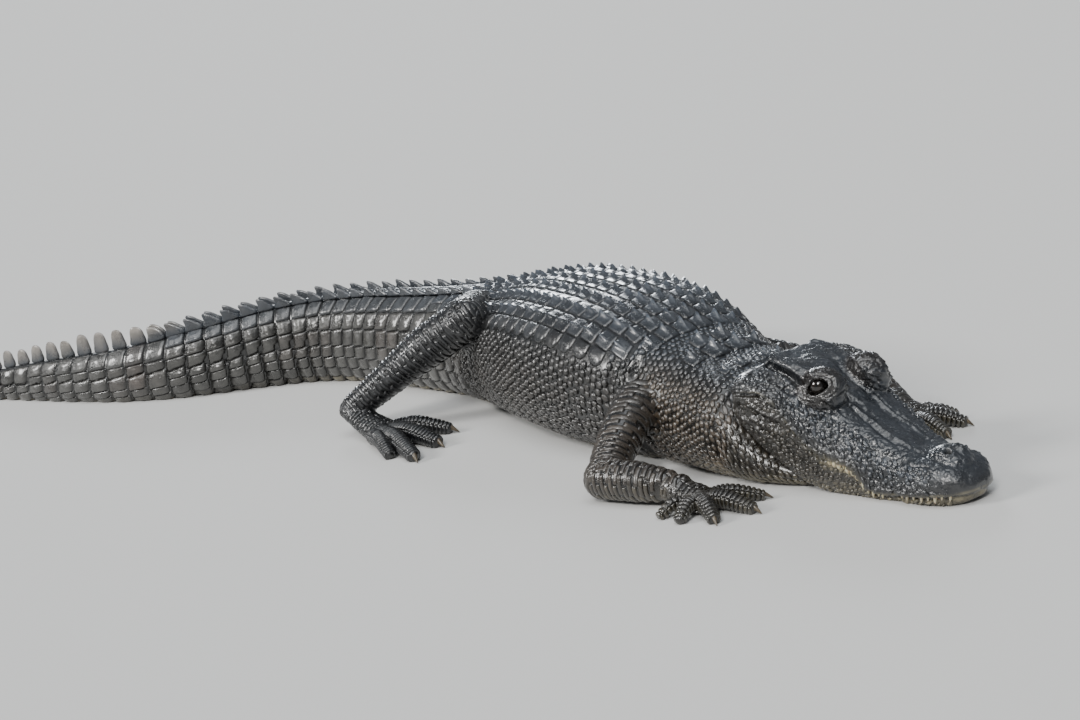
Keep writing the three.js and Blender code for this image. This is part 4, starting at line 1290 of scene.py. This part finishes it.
def part_round(chart, share):
    """A function that gives a share of half the chart's girth at a distance."""
    return lambda u: float(chart.half_girth(u)) * share


def both_sides(us, vs):
    return np.concatenate([us, us]), np.concatenate([vs, -vs])


def shield_spread(q):
    """The shield narrows with the body."""
    return min(1, 0.3 + 0.7 * float(along(FLESH, q, 1)) / FULL_HALF_WIDTH)


def back_shield():
    coat = Coat("back_scutes")
    for offset, first, last, width, height in BACK_ROWS:
        us, vs, lengths = [], [], []
        for q, length in bands:
            if not first < q < last:
                continue
            for side in (-1, 1):
                spread = shield_spread(q)
                us.append(q)
                vs.append(side * offset * spread)
                lengths.append([length - 2.2, width * spread])
        us, vs, lengths = np.array(us), np.array(vs), np.array(lengths)
        n = len(us)
        heights = vary(height, n, 0.14)
        if offset == OUTER_ROW:
            for side, template in ((-1, MIRRORED_ARC), (1, ARCED)):
                own = np.sign(vs) == side
                coat.lay(template, body_chart, us[own], vs[own], lengths[own, 0], lengths[own, 1] * 1.1,
                         heights[own], tip=0.5)
        else:
            us = us + rng.uniform(-1, 1, n)
            wide = vary(1, n, 0.04) * lengths[:, 1]
            coat.lay(KEELED, body_chart, us, vs, lengths[:, 0], wide, heights, tip=1.4,
                     turn=rng.uniform(-0.03, 0.03, n))
    for q, offset, length, width, height in NECK_SCUTES:
        us, vs = np.array([q, q]), np.array([offset, -offset])
        coat.lay(KEELED, body_chart, us, vs, length, width, vary(height * 1.2, 2, 0.1), tip=2.0)
    return coat


def flank_scales():
    coat = Coat("flank_scales")
    beside = lambda u: SHIELD_EDGE if OUTER_FIRST < u < OUTER_LAST else SHIELD_EDGE - 40
    start = lambda u: beside(u) * shield_spread(u)
    end = part_round(body_chart, 0.8)
    us, vs, sizes = grid_places(690, 1500, start, end, 16.0, 13.5, 0.16, -0.32)
    us, vs = both_sides(us, vs)
    n = len(us)
    size = vary(1, n, 0.16)
    wide = np.tile(sizes, 2) * size
    coat.lay(PEBBLE, body_chart, us, vs, 15.2 * size, 13.2 * wide, vary(4.8, n, 0.3), tip=0.6, root=2.5,
             turn=rng.normal(0, 0.2, n), reach=9.0)
    return coat


def neck_scales():
    coat = Coat("neck_scales")
    start = lambda u: 96 if u > 440 else 30
    end = part_round(body_chart, 0.9)
    us, vs, _ = grid_places(240, 694, start, end, 10.8, 14.0, 0.16)
    us, vs = both_sides(us, vs)
    n = len(us)
    size = vary(1, n, 0.2)
    coat.lay(PEBBLE, body_chart, us, vs, 9.8 * size, 13.4 * size, vary(3.8, n, 0.3), tip=0.6, root=2.5,
             turn=rng.normal(0, 0.15, n), reach=9.0)
    us, vs, _ = grid_places(424, 668, -96, 96, 11, 11)
    clear = np.ones(len(us), bool)
    for q, offset, length, width, height in NECK_SCUTES:
        for side in (-1, 1):
            clear &= np.hypot((us - q) / (length / 2 + 3), (vs - side * offset) / (width / 2 + 3)) > 1
    n = len(us)
    coat.lay(SMALL_PEBBLE, body_chart, us, vs, vary(10, n, 0.25), vary(10, n, 0.25), vary(1.8, n, 0.3),
             keep=clear, root=2.0, tip=0.3)
    return coat


def belly_plates():
    coat = Coat("belly_plates")
    us, vs = [], []
    for q in np.arange(380, 1500, 29):
        low = girth_at(q) * (0.75 if q > 690 else 0.87)
        number = max(2, round((girth_at(q) - low) / 27))
        for k in range(number):
            us.append(q)
            vs.append(low + (k + 0.5) * (girth_at(q) - low) / number)
    us, vs = both_sides(np.array(us), np.array(vs))
    n = len(us)
    coat.lay(SLAB, body_chart, us, vs, 27.5, 25.5, 2.6, root=2.0, reach=9.0)
    return coat


# Edges of the rows of plates on the tail's side, as shares from the crest to the belly, from the
# distance where each set begins.
TAIL_EDGES = [
    [TAIL_START, [0, 0.1, 0.18, 0.26, 0.34, 0.42, 0.5, 0.62, 0.74, 0.87, 1]],
    [1640, [0, 0.18, 0.34, 0.5, 0.62, 0.74, 0.87, 1]],
    [2480, [0, 0.34, 0.5, 0.74, 0.87, 1]],
    [2900, [0, 0.5, 0.74, 1]],
]


def tail_plates():
    coat = Coat("tail_plates")
    us, vs, lengths, widths, heights = [], [], [], [], []
    for q, length in bands:
        if q < TAIL_START:
            continue
        half = girth_at(q)
        first = float(along(CREST, q, 1)) + 6
        belly = half * 0.88
        shares = [edges for start, edges in TAIL_EDGES if q > start][-1]
        edges = first + np.array(shares) * (belly - first)
        for low, high in zip([*edges], [*edges[1:], half]):
            us.append(q)
            vs.append((low + high) / 2)
            lengths.append(length - 2.4)
            widths.append(high - low + 0.6)
            heights.append(5.6 if low < belly else 2.4)
    us, vs = both_sides(np.array(us), np.array(vs))
    lengths, widths, heights = (np.tile(a, 2) for a in (lengths, widths, heights))
    n = len(us)
    coat.lay(TAIL_SLAB, body_chart, us, vs, lengths * vary(1, n, 0.03), widths * vary(1, n, 0.05),
             heights * vary(1, n, 0.3), root=3.0, tip=0.7, reach=10.0,
             skew=rng.normal(0.1, 0.03, n) * np.sign(vs))
    # The flat table between the two rows of the crest.
    us, vs, lengths, widths = [], [], [], []
    for q, length in bands:
        offset = float(along(CREST, q, 1))
        if TAIL_START < q < ROWS_MEET and offset > 12:
            for side in (-1, 1):
                us.append(q)
                vs.append(side * offset * 0.47)
                lengths.append(length - 2.0)
                widths.append(offset * 0.9)
    coat.lay(TAIL_SLAB, body_chart, *(np.array(a) for a in (us, vs, lengths, widths)), 3.0)
    return coat


# Outline of the crest's plates: place along the band and height, both as shares.
FIN = [
    (-0.5, -0.1), (-0.46, 0.22), (-0.2, 0.5), (0.12, 0.84), (0.44, 1.0), (0.5, 0.86), (0.44, 0.45),
    (0.46, -0.1),
]
PADDLE = [
    (-0.47, -0.1), (-0.46, 0.5), (-0.36, 0.84), (-0.08, 1.0), (0.2, 0.98), (0.38, 0.78), (0.44, 0.4),
    (0.44, -0.1),
]


def crest():
    """Upright plates along the tail: a pointed double row that meets in a single row of paddles."""
    coat = Coat("tail_crest")
    for q, length in bands:
        if q < CREST[0][0]:
            continue
        offset, height = float(along(CREST, q, 1)), float(along(CREST, q, 2))
        double = q < ROWS_MEET
        paddle = float(smoothstep(2420, 2600, q))
        outline = np.array(FIN) * (1 - paddle) + np.array(PADDLE) * paddle
        outline = smooth_ring(np.column_stack([outline, np.zeros(len(outline))]), 26)[:, :2]
        for side in (-1, 1) if double else (0,):
            high = height * (1 + rng.uniform(-0.1, 0.1))
            wide = (length - 2) * (1 + rng.uniform(-0.06, 0.04)) * (1 - 0.2 * paddle)
            lean = rng.normal(0, 0.05) + side * 0.12 * (1 if double else 0)
            v0 = -side * offset
            rings = []
            for across, swell in ((-1.0, 0.72), (-0.75, 0.93), (0.0, 1.0), (0.75, 0.93), (1.0, 0.72)):
                middle = outline.mean(0)
                shape = middle + (outline - middle) * swell
                rise = shape[:, 1] * high
                thick = (5.2 - 3.4 * np.clip(shape[:, 1], 0, 1)) * across
                u = q + shape[:, 0] * wide
                base = body_chart.point(u, np.full(len(u), v0))
                up = body_chart.normal(u, np.full(len(u), v0)) * orientation(body_chart)
                sideways = place(u, 1, 0) - place(u, 0, 0)
                up = up * 0.35 + np.array([0, 0, 1.0]) * 0.65
                rings.append(base + up * rise[:, None] + sideways * (thick - lean * rise)[:, None])
            number = len(outline)
            start = coat.count
            faces = wall(len(rings), number, start)
            faces.append(tuple(start + k for k in reversed(range(number))))
            faces.append(tuple(start + (len(rings) - 1) * number + k for k in range(number)))
            points = np.vstack(rings)
            share = np.tile(np.clip(outline[:, 1], 0, 1), len(rings))
            pale = float(smoothstep(2360, 2580, q))
            streaks = np.clip(share * (0.25 + 0.75 * pale) + cloud(points, 18, 61) * 0.3, 0, 1)
            colour = mix(hide_colour(points), CREST_PALE, streaks * (0.2 + 0.7 * pale))
            uv = atlas(body_chart, np.array([q]), np.array([v0 * 1.0]))
            local = np.tile(np.column_stack([outline[:, 0] * 2, outline[:, 1]]), (len(rings), 1)) * PATCH
            coat.add(points, faces, colour, uv + local)
    return coat


# Bands of the limbs by length of limb: pitch along and round it, height, skew.
LIMB_COATS = {
    ("arm", "upper"): (11.0, 60.0, 2.6, 0.1),
    ("arm", "lower"): (10.0, 46.0, 2.4, 0.08),
    ("arm", "palm"): (8.0, 20.0, 2.0, 0.0),
    ("leg", "upper"): (11.0, 60.0, 2.6, 0.08),
    ("leg", "lower"): (11.0, 54.0, 2.6, 0.08),
    ("leg", "palm"): (9.0, 24.0, 2.2, 0.0),
}
LIMB_SHARE = {"arm": 0.6, "leg": 1.0}  # how black each limb is
TOE_BANDS = ((-0.3, 0.27), (0.0, 0.36), (0.3, 0.27))  # place and width, as shares of the girth


def limb_scales():
    coat = Coat("limb_scales")
    for (kind, word), parts in limbs.items():
        black = LIMB_SHARE[kind]
        for part in ("upper", "lower", "palm"):
            chart = parts[part].chart()
            pitch_u, pitch_v, height, skew = LIMB_COATS[kind, part]
            low, high = part_round(chart, -0.96), part_round(chart, 0.96)
            first, last = chart.rows[0] + 4, chart.rows[-1] - 4
            us, vs, _ = grid_places(first, last, low, high, pitch_u, pitch_v, 0.03)
            n = len(us)
            long, wide = vary(pitch_u * 0.98, n, 0.04), vary(pitch_v * 0.98, n, 0.04)
            coat.lay(BAND, chart, us, vs, long, wide, vary(height, n, 0.25), limb=black, tip=0.6,
                     root=2.5, reach=6.0, skew=skew)
        for digit in parts["digits"]:
            chart = digit.chart()
            us = np.arange(3, chart.rows[-1] - 2, 8.2)
            girth = 2 * chart.half_girth(us)
            for share, wide in TOE_BANDS:
                coat.lay(BAND, chart, us, girth * share, 7.6, girth * wide, vary(2.6, len(us), 0.2),
                         limb=black, root=2.0, tip=0.6, reach=6.0)
    return coat


def head_charts():
    rows = np.arange(-30, 450, 4)
    upper, jaw = [], []
    for x in rows:
        corners = upper_ring(x)
        upper.append(from_head(np.array(corners[:15])))
        low = jaw_ring(min(x, 446))
        jaw.append(from_head(np.array(low[:11])))
    return Chart("head", rows, upper), Chart("jaw", rows, jaw)


def off_lines(h):
    """Where points of the head lie clear of the line of the mouth and of the drawn ridges."""
    above_lip = h[:, 2] - along(UPPER_HEAD, h[:, 0], 2)
    clear = (above_lip > 5.5) | (above_lip < -5)
    for line, width, height in SIDE_LINES:
        if height > 2.5:
            clear &= line_distance(h[:, [0, 2]], line) > 3.4
    return clear


def head_scales():
    coat = Coat("head_scales")
    upper, jaw = head_charts()
    low, high = part_round(upper, 0.52), part_round(upper, 0.97)
    us, vs, _ = grid_places(-24, 396, low, high, 10.6, 8.6, 0.34)
    us, vs = both_sides(us, vs)
    n = len(us)
    base = to_head(upper.point(us, vs))
    eye_far = eye_distance(base)
    beside = np.stack([base[:, 0], np.abs(base[:, 1])], 1)
    ear = (line_distance(beside, EAR_LINES[0][0]) < 9) & (base[:, 2] > 122)
    size = vary(1, n, 0.35)
    stretch = vary(1.25, n, 0.3)
    coat.lay(SMALL_PEBBLE, upper, us, vs, 8.8 * size * stretch, 7.8 * size, vary(3.0, n, 0.5),
             keep=(eye_far > 44) & ~ear & off_lines(base) & (rng.random(n) > 0.06), tip=0.7,
             root=2.5, reach=9.0, turn=rng.normal(0.45, 0.35, n) * np.sign(vs))
    low, high = part_round(jaw, 0.5), part_round(jaw, 0.95)
    us, vs, _ = grid_places(-10, 430, low, high, 9.6, 7.6, 0.28)
    us, vs = both_sides(us, vs)
    n = len(us)
    size = vary(1, n, 0.3)
    keep = off_lines(to_head(jaw.point(us, vs))) & (rng.random(n) > 0.05)
    coat.lay(SMALL_PEBBLE, jaw, us, vs, 9.4 * size, 7.4 * size, vary(2.3, n, 0.45), tip=0.7, root=2.5,
             reach=9.0, keep=keep, turn=rng.normal(0, 0.3, n))
    return coat


# Materials.
def node(tree, kind, settings=None, links=None):
    """Adds a node with its settings, its input values and its links: {input: socket}."""
    made = tree.nodes.new(kind)
    for key, value in (settings or {}).items():
        if hasattr(made, key) and key not in made.inputs:
            setattr(made, key, value)
        else:
            made.inputs[key].default_value = value
    for key, socket in (links or {}).items():
        tree.links.new(socket, made.inputs[key])
    return made


def new_material(name):
    material = bpy.data.materials.new(name)
    material.use_nodes = True
    material.node_tree.nodes.clear()
    return material, material.node_tree


def surface(tree, settings, links):
    """The material's shader and its output."""
    shader = node(tree, "ShaderNodeBsdfPrincipled", settings, links)
    node(tree, "ShaderNodeOutputMaterial", links={"Surface": shader.outputs[0]})


def hide_attribute(tree):
    return node(tree, "ShaderNodeAttribute", {"attribute_name": "hide"}).outputs["Color"]


def object_place(tree):
    return node(tree, "ShaderNodeTexCoord").outputs["Object"]


def noise(tree, spot, scale, detail, **more):
    settings = {"Scale": scale, "Detail": detail, **more}
    return node(tree, "ShaderNodeTexNoise", settings, {"Vector": spot}).outputs["Fac"]


def remap(tree, value, from_low, from_high, low, high):
    settings = {"From Min": from_low, "From Max": from_high, "To Min": low, "To Max": high}
    return node(tree, "ShaderNodeMapRange", settings, {"Value": value}).outputs["Result"]


def bump(tree, height, strength, distance, normal=None):
    links = {"Height": height} if normal is None else {"Height": height, "Normal": normal}
    settings = {"Strength": strength, "Distance": distance}
    return node(tree, "ShaderNodeBump", settings, links).outputs["Normal"]


def ramp(tree, value, low, high):
    made = node(tree, "ShaderNodeValToRGB", links={"Fac": value})
    for element, colour in zip(made.color_ramp.elements, (low, high)):
        element.color = (*linear(colour), 1)
    return made.outputs["Color"]


def wet_hide():
    """Crocodilian hide, wet from the water: keratin scales over leather, so tight bright glints."""
    material, tree = new_material("wet_alligator_hide")
    spot = object_place(tree)
    stain = noise(tree, spot, 38.0, 5.0, Roughness=0.62)
    tinted = node(tree, "ShaderNodeMix", {"data_type": "RGBA", "blend_type": "MULTIPLY"})
    tinted.inputs[0].default_value = 1.0
    tree.links.new(hide_attribute(tree), tinted.inputs[6])
    tree.links.new(remap(tree, stain, 0.3, 0.7, 0.72, 1.3), tinted.inputs[7])
    cells = {"feature": "DISTANCE_TO_EDGE", "Scale": 260.0}
    cracks = node(tree, "ShaderNodeTexVoronoi", cells, {"Vector": spot}).outputs["Distance"]
    fine = bump(tree, noise(tree, spot, 420.0, 4.0, Roughness=0.6), 0.35, 0.0006)
    cracked = bump(tree, remap(tree, cracks, 0.0, 0.12, 0.0, 1.0), 0.3, 0.0005, fine)
    wrinkled = bump(tree, noise(tree, spot, 150.0, 2.0, Distortion=0.8), 0.55, 0.0016, cracked)
    film = {"Coat Weight": 0.7, "Coat Roughness": 0.1, "Coat IOR": 1.42}
    surface(tree, {"IOR": 1.5, "Specular IOR Level": 0.7, **film}, {
        "Base Color": tinted.outputs[2],
        "Roughness": remap(tree, stain, 0.3, 0.7, 0.17, 0.42),
        "Normal": wrinkled,
    })
    return material


def horn():
    """Keratin of the claws: dark brown-black, with paler streaks."""
    material, tree = new_material("claw_horn")
    streaks = noise(tree, object_place(tree), 180.0, 3.0)
    colour = ramp(tree, streaks, "#1c1915", "#6b5f4c")
    normal = bump(tree, streaks, 0.2, 0.0004)
    surface(tree, {"Roughness": 0.32, "IOR": 1.54}, {"Base Color": colour, "Normal": normal})
    return material


def enamel():
    """Tooth enamel, stained cream."""
    material, tree = new_material("stained_tooth_enamel")
    stain = noise(tree, object_place(tree), 90.0, 3.0)
    settings = {"Roughness": 0.25, "IOR": 1.6, "Subsurface Weight": 0.1}
    surface(tree, settings, {"Base Color": ramp(tree, stain, "#a58f68", "#e2d8bd")})
    return material


def wet_eye():
    """Eye under its tear film: brown iris with a dark slit, mirror bright."""
    material, tree = new_material("wet_olive_eye")
    settings = {"Roughness": 0.12, "IOR": 1.38, "Coat Weight": 1.0, "Coat Roughness": 0.02}
    surface(tree, settings, {"Base Color": hide_attribute(tree)})
    return material


HIDE = wet_hide()
HORN = horn()
ENAMEL = enamel()
WET_EYE = wet_eye()


def finish_skin():
    points = points_of(skin)
    colours = hide_colour(points, limb_share(points))
    h = to_head(points)
    n = normals_of(skin) @ head_axes
    on_head = smoothstep(-26, -8, h[:, 0]) * (np.abs(h[:, 1]) < 160)
    covered = smoothstep(0.25, 0.6, np.abs(n[:, 1])) * (h[:, 0] < 396)
    lids = eye_distance(h) < 46
    # Painted shade: off the head the skin shows only in the gaps between scales and keeps a fifth of its
    # colour; on the head, where beads cover it, it keeps three fifths.
    painted_gap_shade = 0.2 + 0.8 * on_head * (1 - 0.5 * covered * ~lids)
    set_colours(skin, colours * painted_gap_shade[:, None])
    skin.data.polygons.foreach_set("use_smooth", [True] * len(skin.data.polygons))
    skin.data.materials.clear()
    skin.data.materials.append(HIDE)
    return skin


IRIS = linear("#1e150d")
IRIS_EDGE = linear("#090604")
PUPIL = linear("#050504")


def make_eye(side, word):
    eye = ball(eye_centre(side), np.full(3, EYE_RADIUS), 48)
    eye.name = f"eyeball_{word}"
    out, ahead, up = gaze(side)
    h = (to_head(points_of(eye)) - eye_centre(side)) / EYE_RADIUS
    across, lift, depth = h @ ahead, h @ up, h @ out
    radius = np.hypot(across, lift)
    colours = mix(IRIS, IRIS_EDGE, smoothstep(0.3, 0.62, radius))
    slit = smoothstep(0.16, 0.1, np.abs(across) + 0.08 * np.abs(lift)) * smoothstep(0.5, 0.4, np.abs(lift))
    colours = mix(colours, PUPIL, slit * (depth > 0))
    set_colours(eye, colours)
    bpy.ops.object.shade_smooth()
    eye.data.materials.append(WET_EYE)
    return eye


def lid_rims():
    """The thick edges of the lids, with the upper lid's row of small scales."""
    coat = Coat("lid_rims")
    for side in (-1, 1):
        angle = np.linspace(0, 2 * math.pi, 56, endpoint=False)
        path = from_head(eye_opening(side, angle, 0.5, 25))
        path = to_head(np.array([nearest_on_skin(p) for p in path]))
        centre = eye_centre(side)
        ahead = unit(np.roll(path, -1, 0) - np.roll(path, 1, 0))
        out = unit(path - centre)
        across = np.cross(ahead, out)
        upper = smoothstep(-0.2, 0.6, np.sin(angle))
        thick = 1.7 + 0.9 * upper + 0.6 * upper * np.cos(angle * 26)
        rings = []
        for turn in np.linspace(0, 2 * math.pi, 10, endpoint=False):
            rings.append(path + (across * math.cos(turn) + out * math.sin(turn)) * thick[:, None])
        rings = np.array(rings).transpose(1, 0, 2)
        faces = wall(len(rings), rings.shape[1], coat.count, closed=True)
        points = from_head(rings.reshape(-1, 3))
        uvs = np.array([[0.1, 0.6 + 0.01 * side]]) + rng.uniform(-PATCH, PATCH, (len(points), 2))
        coat.add(points, faces, hide_colour(points) * 0.8, uvs)
    rims = coat.finish(HIDE)
    face_outwards(rims)
    return rims


def round_ring(centre, first, second, size, count):
    """A ring round a centre, on two directions."""
    angle = np.linspace(0, 2 * math.pi, count, endpoint=False)[:, None]
    return centre + first * np.cos(angle) * size + second * np.sin(angle) * size


def finish_piece(parts, name, material):
    """Joins parts into one smooth piece."""
    piece = join(parts, name)
    bpy.ops.object.shade_smooth()
    piece.data.materials.append(material)
    return piece


def make_claws():
    """A curved claw at each digit that has one."""
    claws = []
    for (kind, word), parts in limbs.items():
        for digit in parts["digits"]:
            if not digit.claw:
                continue
            end, ahead, radius = digit.centres[-1], digit.ahead[-1] * [1, 1, 0], digit.radii[-1]
            ahead /= np.linalg.norm(ahead)
            side = np.array([-ahead[1], ahead[0], 0])
            rings = []
            for t in np.linspace(0, 1, 9):
                centre = end + ahead * (radius * 0.3 + digit.claw * t)
                centre[2] = radius * (0.95 + 0.3 * math.sin(t * 2.6)) * (1 - t) + 1.6
                size = radius * 0.56 * (1 - t) ** 0.7 + 0.25
                rings.append(round_ring(centre, side * 0.8, np.array([0, 0, 1.0]), size, 12))
            claws.append(loft("claw", rings))
    return finish_piece(claws, "claws", HORN)


TEETH = [[428, 9], [406, 12], [382, 10], [352, 8], [300, 8], [282, 12], [262, 12], [222, 8]]
SMALL_TEETH = [[416, 6], [394, 7], [366, 6], [340, 5], [272, 8], [292, 7]]
# Blunt cream lobes of the lower lip, bared under the notch of the upper one.
LIP_LOBES = [[250, 10], [241, 12], [231, 13], [213, 12], [204, 11], [195, 9]]


def make_teeth():
    """Upper teeth that hang past the lower lip, conical and a little bent inwards."""
    teeth = []
    for side in (-1, 1):
        for x, length in TEETH + SMALL_TEETH + LIP_LOBES:
            lobe = 1.9 if [x, length] in LIP_LOBES else 0
            half, lip = float(along(UPPER_HEAD, x, 1)), float(along(UPPER_HEAD, x, 2))
            root = np.array([x, side * (half - 2.8), lip + 4])
            rings = []
            for t in np.linspace(0, 1, 7):
                centre = root - [0, side * 1.6 * t * t, (length + 4) * t]
                size = (1.3 + length * 0.15 + lobe) * (1 - t ** (2.2 + lobe)) + 0.25
                rings.append(round_ring(centre, np.array([1.0, 0, 0]), np.array([0, 1.0, 0]), size, 10))
            teeth.append(loft("tooth", [from_head(ring) for ring in rings]))
    return finish_piece(teeth, "teeth", ENAMEL)


pieces = {"skin": finish_skin()}
COATS = (
    back_shield, flank_scales, neck_scales, belly_plates, tail_plates, crest, limb_scales, head_scales,
)
for coat in [lay_coat() for lay_coat in COATS]:
    pieces[coat.name] = coat.finish(HIDE)
face_outwards(pieces["tail_crest"])
pieces["lid_rims"] = lid_rims()
pieces["claws"] = make_claws()
pieces["teeth"] = make_teeth()
for word, side in SIDES:
    pieces[f"eye_{word}"] = make_eye(side, word)


# Floor, light and camera.
def stage():
    deselect()
    bpy.ops.mesh.primitive_plane_add(size=160, location=(0, 0, 0))
    floor = bpy.context.object
    floor.name = "studio_floor"
    material, tree = new_material("pale_studio_floor")
    surface(tree, {"Base Color": (0.58, 0.58, 0.57, 1), "Roughness": 0.85}, {})
    floor.data.materials.append(material)
    world = bpy.data.worlds.new("studio")
    world.use_nodes = True
    world.node_tree.nodes["Background"].inputs["Color"].default_value = (0.78, 0.82, 0.88, 1)
    world.node_tree.nodes["Background"].inputs["Strength"].default_value = 0.3
    bpy.context.scene.world = world


# The studio's lights: name, direction towards the light, strength, width in degrees, colour.
SUNS = [
    ("sky", (0.25, -0.2, 1.0), 1.5, 50, (0.95, 0.98, 1.0)),
    ("key", (3.0, -4.2, 4.4), 2.0, 15, (1.0, 0.98, 0.95)),
    ("left_soft", (-2.4, -4.8, 3.0), 2.1, 16, (1.0, 0.99, 0.97)),
    ("low_back", (-5.4, 3.2, 2.4), 0.9, 14, (0.9, 0.95, 1.0)),
]


def add_sun(name, towards, strength, angle, colour):
    """A wide soft sun that shines from a direction."""
    light = bpy.data.lights.new(name, "SUN")
    light.energy = strength
    light.angle = math.radians(angle)
    light.color = colour
    obj = bpy.data.objects.new(name, light)
    obj.rotation_euler = Vector(towards).to_track_quat("Z", "Y").to_euler()
    bpy.context.scene.collection.objects.link(obj)


def make_camera():
    right = np.array([math.cos(CAMERA_AZIMUTH), math.sin(CAMERA_AZIMUTH), 0])
    away = np.array([-math.sin(CAMERA_AZIMUTH), math.cos(CAMERA_AZIMUTH), 0])
    up = away * math.sin(CAMERA_DOWN) + np.array([0, 0, math.cos(CAMERA_DOWN)])
    view = away * math.cos(CAMERA_DOWN) - np.array([0, 0, math.sin(CAMERA_DOWN)])
    image_right = right * math.cos(CAMERA_ROLL) + up * math.sin(CAMERA_ROLL)
    image_up = -right * math.sin(CAMERA_ROLL) + up * math.cos(CAMERA_ROLL)
    camera = bpy.data.cameras.new("camera")
    camera.lens = CAMERA_LENS
    camera.sensor_width = SENSOR_WIDTH
    camera.clip_end = 200
    obj = bpy.data.objects.new("camera", camera)
    turn = Matrix((image_right, image_up, -view)).transposed()
    obj.matrix_world = Matrix.Translation(CAMERA_PLACE) @ turn.to_4x4()
    bpy.context.scene.collection.objects.link(obj)
    bpy.context.scene.camera = obj


stage()
make_camera()
for sun in SUNS:
    add_sun(*sun)

flesh_nodes = [name for name in frame["nodes"] if not name.startswith("eye_")]
for name, piece in pieces.items():
    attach(piece, "root")
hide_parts(*flesh_nodes)
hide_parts("eye_left")
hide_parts("eye_right")
